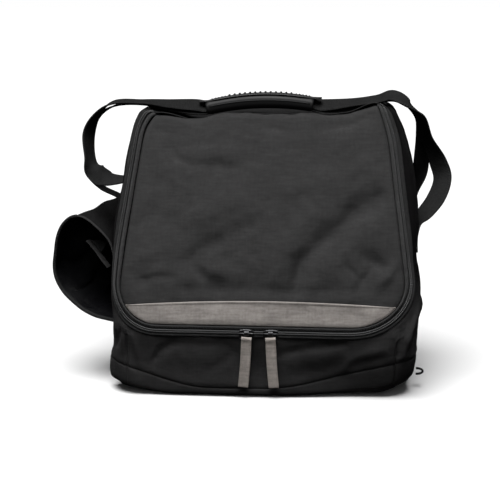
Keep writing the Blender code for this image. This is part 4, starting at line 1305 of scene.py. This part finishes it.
def grip_plate(looks):
    """The ribbed plate on top, with pointed ends and rows of small studs beside the ribs."""
    half = GRIP_PAD_LENGTH / 2
    mesh = bmesh.new()
    rings = []
    for x in spread(-half + 0.0005, half - 0.0005, 90):
        inside = max(-GRIP_LENGTH / 2, min(GRIP_LENGTH / 2, x))
        z = grip_z(inside) + grip_half_height(inside) * 0.985
        place = Vector((GRIP_MIDDLE.x + x, GRIP_MIDDLE.y, z))
        wide = 0.004 + 0.0085 * math.sin(math.pi / 2 * min(1.0, (half - abs(x)) / 0.030))
        outline = round_profile(wide, 0.0011, 16, 3.0)
        rings.append([mesh.verts.new(place + Vector((0, u, v))) for u, v in outline])
    join_rings(mesh, rings)
    plate = add_piece("grip_plate", mesh, [looks["pad_rubber"]], "grip")
    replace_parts(plate, "grip_pad")
    mesh = bmesh.new()
    for rib in range(RIBS):
        add_rib(mesh, grip_top((rib - RIBS // 2) * RIB_PITCH), 0.0112, 0.0015, 0.0023)
    add_piece("grip_ribs", mesh, [looks["pad_rubber"]], "grip")
    mesh = bmesh.new()
    for end in (-1, 1):
        for column in range(5):
            for row in range(-2, 3):
                centre = grip_top(end * (0.0455 + 0.0042 * column))
                centre.y += row * 0.0040 + (0.0020 if column % 2 else 0.0)
                add_stud(mesh, centre, 0.0013)
    add_piece("grip_studs", mesh, [looks["pad_rubber"]], "grip")


def add_rib(mesh, base, reach, half_x, tall):
    """A rounded bar across the grip."""
    rings = []
    for share in spread(-1.0, 1.0, 9):
        fade = math.sqrt(max(0.04, 1 - share**4))
        ring = []
        for k in range(8):
            turn = 2 * math.pi * k / 8
            offset = Vector((half_x * math.cos(turn) * fade, 0, tall * max(-0.2, math.sin(turn)) * fade))
            ring.append(mesh.verts.new(base + Vector((0, share * reach, 0)) + offset))
        rings.append(ring)
    join_rings(mesh, rings)


def add_stud(mesh, centre, radius):
    made = bmesh.ops.create_uvsphere(mesh, u_segments=8, v_segments=6, radius=radius)["verts"]
    for vert in made:
        vert.co.z *= 0.7
        vert.co += centre


WEBBING_ROUTES = {  # (place, direction of its width), from the left side over the grip
    "front": (
        (
            ((-0.175, -0.035, 0.250), (0, -1, -0.2)), ((-0.195, -0.035, 0.250), (0, -0.8, -0.5)),
            ((-0.210, -0.025, 0.255), (-0.6, -0.2, -0.8)), ((-0.220, -0.015, 0.270), (-0.3, -0.9, 0)),
            ((-0.225, 0.000, 0.300), (-0.4, -0.9, 0.2)), ((-0.215, 0.010, 0.325), (-0.2, -1, 0)),
            ((-0.195, 0.020, 0.340), (0, -1, -0.1)), ((-0.160, 0.030, 0.340), (0, -1, -0.1)),
            ((-0.130, 0.040, 0.337), (0, -0.9, -0.3)), ((-0.095, 0.045, 0.335), (0, -0.85, -0.5)),
        ),
        (
            ((0.070, 0.045, 0.336), (0, -0.85, -0.5)), ((0.105, 0.040, 0.340), (0, -0.9, -0.3)),
            ((0.135, 0.035, 0.345), (0, -0.95, -0.3)), ((0.155, 0.030, 0.350), (0.1, -0.9, -0.4)),
            ((0.175, 0.020, 0.340), (0.2, -0.9, -0.4)), ((0.190, 0.030, 0.325), (0.4, -0.9, 0)),
            ((0.200, 0.040, 0.295), (0.5, -0.85, 0.2)), ((0.215, 0.040, 0.265), (0.8, -0.5, 0.3)),
            ((0.220, 0.030, 0.245), (0.85, -0.5, 0.1)), ((0.210, 0.000, 0.225), (0.7, -0.65, -0.2)),
            ((0.190, -0.035, 0.205), (0.3, -0.9, -0.2)), ((0.185, -0.050, 0.190), (0, -1, 0)),
            ((0.185, -0.050, 0.170), (0, -1, 0)),
        ),
    ),
    "rear": (
        (
            ((-0.180, 0.055, 0.190), (0, -1, 0)), ((-0.195, 0.050, 0.213), (0, -1, 0)),
            ((-0.220, 0.045, 0.228), (0, -1, 0)), ((-0.232, 0.040, 0.250), (-0.2, -1, 0)),
            ((-0.230, 0.035, 0.290), (-0.1, -1, 0.2)), ((-0.220, 0.035, 0.320), (0, -1, 0.1)),
            ((-0.195, 0.040, 0.335), (0, -1, 0)), ((-0.160, 0.045, 0.336), (0, -1, 0)),
            ((-0.130, 0.045, 0.332), (0, -0.95, -0.2)), ((-0.100, 0.045, 0.330), (0, -0.9, -0.45)),
        ),
        (
            ((0.075, 0.045, 0.332), (0, -0.9, -0.5)), ((0.105, 0.045, 0.335), (0, -0.95, -0.3)),
            ((0.150, 0.045, 0.344), (0, -1, -0.1)), ((0.170, 0.045, 0.338), (0.1, -1, -0.1)),
            ((0.190, 0.050, 0.320), (0.3, -0.95, 0.1)), ((0.195, 0.060, 0.295), (0.5, -0.85, 0.2)),
            ((0.195, 0.070, 0.255), (0.7, -0.7, 0.1)), ((0.190, 0.075, 0.225), (0.2, -1, 0)),
            ((0.185, 0.075, 0.200), (0, -1, 0)),
        ),
    ),
}
WEBBING_STACK = {"front": 0.0016, "rear": -0.0016}  # distance from the middle of the grip's channel
WEBBING_SEAM = 0.0098  # distance of the sewn rows from the webbing's middle


def webbing_line(name):
    """Places, width directions and normals along one length of webbing."""
    left, right = WEBBING_ROUTES[name]
    middle = []
    for share in spread(-1.0, 1.0, 9):
        place = (GRIP_MIDDLE.x + share * GRIP_LENGTH / 2, GRIP_MIDDLE.y)
        tilt = 0.50 * share**4
        middle.append(((*place, grip_z(share * GRIP_LENGTH / 2) + WEBBING_STACK[name]), (0, -1, -tilt)))
    route = [(*place, *wide) for place, wide in (*left, *middle, *right)]
    stations = smooth_line(route, 12)
    places = [Vector(s[:3]) for s in stations]
    return places, *ribbon_frames(places, [Vector(s[3:]) for s in stations])


def webbings(looks):
    profile = webbing_profile(WEBBING_WIDTH, WEBBING_THICK, 0.00030)
    for name in ("front", "rear"):
        places, across, normals = webbing_line(name)
        piece = sweep(name + "_strap", places, across, normals, profile, looks["webbing"], None, "webbing")
        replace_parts(piece, name + "_webbing")
        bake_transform(piece)
        for edge in (-1, 1):
            for face in (-1, 1):
                row = []
                for place, wide, normal in zip(places, across, normals):
                    row.append(place + wide * edge * WEBBING_SEAM + normal * face * WEBBING_THICK / 2)
                facing = [n * face for n in normals]
                label = f"{name}_strap_stitching_{edge}_{face}".replace("-1", "a").replace("1", "b")
                made = stitches(label, row, facing, None, looks["thread"], "webbing", 0.0036, 0.0024, 0.0003)
                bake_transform(made)


# --- side pouch and loop -------------------------------------------------------------

POUCH_RIM = (  # (reach from the bag's side, y, z) round the mouth
    (0.000, -0.065, 0.156), (0.004, -0.062, 0.174), (0.011, -0.060, 0.186), (0.023, -0.055, 0.198),
    (0.038, -0.050, 0.2055), (0.052, -0.046, 0.2035), (0.0635, -0.045, 0.193), (0.070, -0.045, 0.178),
    (0.0730, -0.045, 0.160), (0.0752, -0.045, 0.141), (0.0722, -0.047, 0.125), (0.0632, -0.050, 0.110),
    (0.0505, -0.055, 0.0990), (0.036, -0.060, 0.0895), (0.019, -0.065, 0.0830), (0.000, -0.068, 0.0785),
)
POUCH_SEWN_Y = 0.052
DIVIDER_ROUTE = (  # reach, y, z
    (0.032, -0.042, 0.174), (0.022, -0.046, 0.164), (0.011, -0.052, 0.151), (0.004, -0.054, 0.143),
)
FOLD_CORNERS = ((0.0290, -0.044, 0.1745), (0.006, -0.046, 0.1735), (0.0150, -0.048, 0.160))  # reach, y, z


def pouch_point(rim, share, lift=0.0):
    """A point of the pouch between its mouth, at share 0, and the line where it is sewn to the bag."""
    reach, y, z = rim
    sewn_z = 0.150 + (z - 0.140) * 1.02 + 0.004
    shrink = (1 - share) ** 0.85
    point = Vector((reach * shrink, y + (POUCH_SEWN_Y - y) * share, z + (sewn_z - z) * share))
    turn = math.atan2(z - 0.140, reach)
    fold = 0.0018 * math.sin(7 * share + 3.2 * turn)
    fold += 0.0040 * (1 - smooth_step(0.0, 0.9, turn)) * math.sin(11 * turn + 3.0 * math.sin(6 * share))
    fold += 0.0040 * mottle((share * 2.2, turn * 1.4, 0.0), 1.6, 4.0)
    low = 1 - smooth_step(-0.7, 0.1, turn)
    fold -= 0.0060 * low * (1 - abs(math.sin(4.2 * turn + 4.0 * share))) ** 2
    spread_in = min(1.0, share * 7) * min(1.0, (1 - share) * 5) * min(1.0, reach / 0.02)
    point.x += (fold + lift) * spread_in
    point.z += fold * spread_in * 0.6
    wall = -half_width(z, -1)
    face = wall + (-POUCH_FACE - wall) * min(1.0, reach / 0.02) * (1 - share)
    return Vector((face - max(0.0006, point.x), point.y, point.z))


def pouch(looks):
    rim = smooth_line(POUCH_RIM, 5)
    rows = []
    for share in [(i / 30) ** 1.1 for i in range(31)]:
        row = [(pouch_point(p, share), (0.34 * k / (len(rim) - 1), 0.13 * share)) for k, p in enumerate(rim)]
        rows.append(row)
    mesh = bmesh.new()
    lay_grid(mesh, rows)
    # The pouch's darker outer cloth is painted shade.
    piece = add_piece("pouch_cloth", mesh, [looks["pouch"], looks["lining"]], "bag")
    inside = Vector((-POUCH_FACE - 0.010, -0.030, 0.140))
    if sum(p.normal.dot(p.center - inside) for p in piece.data.polygons) < 0:
        piece.data.flip_normals()
    thicken(piece, 0.0016, 1)
    subdivide(piece)
    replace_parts(piece, "side_pouch")
    pouch_rim(rim, looks)
    pouch_divider(looks)


def pouch_rim(rim, looks):
    """A thick bound edge on the lower, outer part of the mouth and a thin hem on its upper part."""
    split = int(len(rim) * 0.30)
    edges = (("hem", rim[: split + 1], 0.0011, "wall"), ("bound_edge", rim[split:], 0.0021, "binding"))
    for name, part, size, look in edges:
        places = [pouch_point(p, 0.0, -0.0006) + Vector((0, -0.0008, 0)) for p in part]
        normals = [Vector((0, -1, 0))] * len(places)
        across = [heading(places, i).cross(normals[i]).normalized() for i in range(len(places))]
        profile = round_profile(size, 0.0028, 12, 2.6)
        made = sweep("pouch_" + name, places, across, normals, profile, looks[look], "bag", "binding")
        if name == "bound_edge":
            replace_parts(made, "pouch_binding")


def pouch_divider(looks):
    """A strap sewn across the inside of the pouch, and the corner of a folded cloth beside it."""
    line = [Vector((-POUCH_FACE - x, y, z)) for x, y, z in smooth_line(DIVIDER_ROUTE, 8)]
    across, normals = ribbon_frames(line, [Vector((0, 1, 0.25)).normalized()] * len(line))
    strap = round_profile(0.006, 0.0008, 12, 3.0)
    sweep("pouch_divider", line, across, normals, strap, looks["wall"], "bag", "lining")
    left, right, low = (Vector((-POUCH_FACE - x, y, z)) for x, y, z in FOLD_CORNERS)
    rows = []
    for down in spread(0.0, 1.0, 9):
        row = []
        for share in spread(0.0, 1.0, 13):
            bulge = 0.0022 * math.sin(math.pi * share) * math.sin(math.pi * down)
            bulge -= 0.0012 * math.sin(9 * share)
            point = left.lerp(right, share).lerp(low, down * 0.94) + Vector((0, bulge, 0))
            row.append((point, (0.03 * share, 0.017 * down)))
        rows.append(row)
    mesh = bmesh.new()
    lay_grid(mesh, rows)
    piece = add_piece("pouch_fold", mesh, [looks["top"]], "bag")
    thicken(piece, 0.0010)


def side_loop(looks):
    low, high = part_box("side_loop")
    centre_z, reach = (low.z + high.z) / 2, high.x - low.x - 0.0012
    line, across, normals = [], [], []
    for step in range(25):
        turn = math.radians(-95 + 190 * step / 24)
        out = Vector((math.cos(turn), 0, math.sin(turn)))
        line.append(Vector((low.x + reach * out.x, (low.y + high.y) / 2, centre_z + 0.0036 * out.z)))
        normals.append(out)
        across.append(Vector((0, 1, 0)))
    flat = round_profile(0.0026, 0.0013, 10)
    piece = sweep("cord_loop", line, across, normals, flat, looks["webbing"], "bag", "webbing")
    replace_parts(piece, "side_loop")


# --- camera and studio ---------------------------------------------------------------


def camera():
    target = Vector((-0.0215, 0.0, 0.156))
    distance, azimuth, elevation = 1.50, math.radians(4.5), math.radians(12.0)
    level = math.cos(elevation)
    away = Vector((math.sin(azimuth) * level, -math.cos(azimuth) * level, math.sin(elevation)))
    data = bpy.data.cameras.new("camera")
    data.lens = 85
    obj = bpy.data.objects.new("camera", data)
    obj.location = target + away * distance
    obj.rotation_euler = (-away).to_track_quat("-Z", "Y").to_euler()
    bpy.context.collection.objects.link(obj)
    bpy.context.scene.camera = obj


def light(name, kind, energy, direction, size):
    """A lamp that shines towards the bag from a direction; a sun's size is its angle."""
    data = bpy.data.lights.new(name, kind)
    data.energy = energy
    if kind == "SUN":
        data.angle = size
    else:
        data.size = size
    obj = bpy.data.objects.new(name, data)
    away = Vector(direction)
    obj.location = Vector((0, 0, 0.17)) + away
    obj.rotation_euler = (-away).to_track_quat("-Z", "Y").to_euler()
    bpy.context.collection.objects.link(obj)


def studio():
    world = bpy.data.worlds.new("studio")
    world.use_nodes = True
    world.node_tree.nodes["Background"].inputs[0].default_value = (1, 1, 1, 1)
    world.node_tree.nodes["Background"].inputs[1].default_value = 1.0
    world.cycles_visibility.diffuse = False
    world.cycles_visibility.glossy = False
    bpy.context.scene.world = world
    bpy.context.scene.view_settings.view_transform = "Standard"
    light("overhead", "SUN", 4.4, (-0.10, -0.25, 1.0), math.radians(46))
    light("front_fill", "AREA", 7.0, (0.3, -2.4, 0.9), 1.6)
    bpy.ops.mesh.primitive_plane_add(size=120, location=(0, 0, -0.0005))
    floor = bpy.context.object
    floor.name = "floor"
    floor.visible_diffuse = False
    floor.visible_glossy = False
    look = bpy.data.materials.new("floor")
    look.use_nodes = True
    look.node_tree.nodes["Principled BSDF"].inputs["Base Color"].default_value = (0.9, 0.9, 0.9, 1)
    look.node_tree.nodes["Principled BSDF"].inputs["Roughness"].default_value = 0.9
    floor.data.materials.append(look)


def main():
    camera()
    studio()
    looks = make_looks()
    bag_walls(looks)
    top_panel(looks)
    flap(looks)
    trim(looks)
    zip_pieces(looks)
    inside_pads(looks)
    pulls(looks)
    grip(looks)
    webbings(looks)
    pouch(looks)
    side_loop(looks)


main()
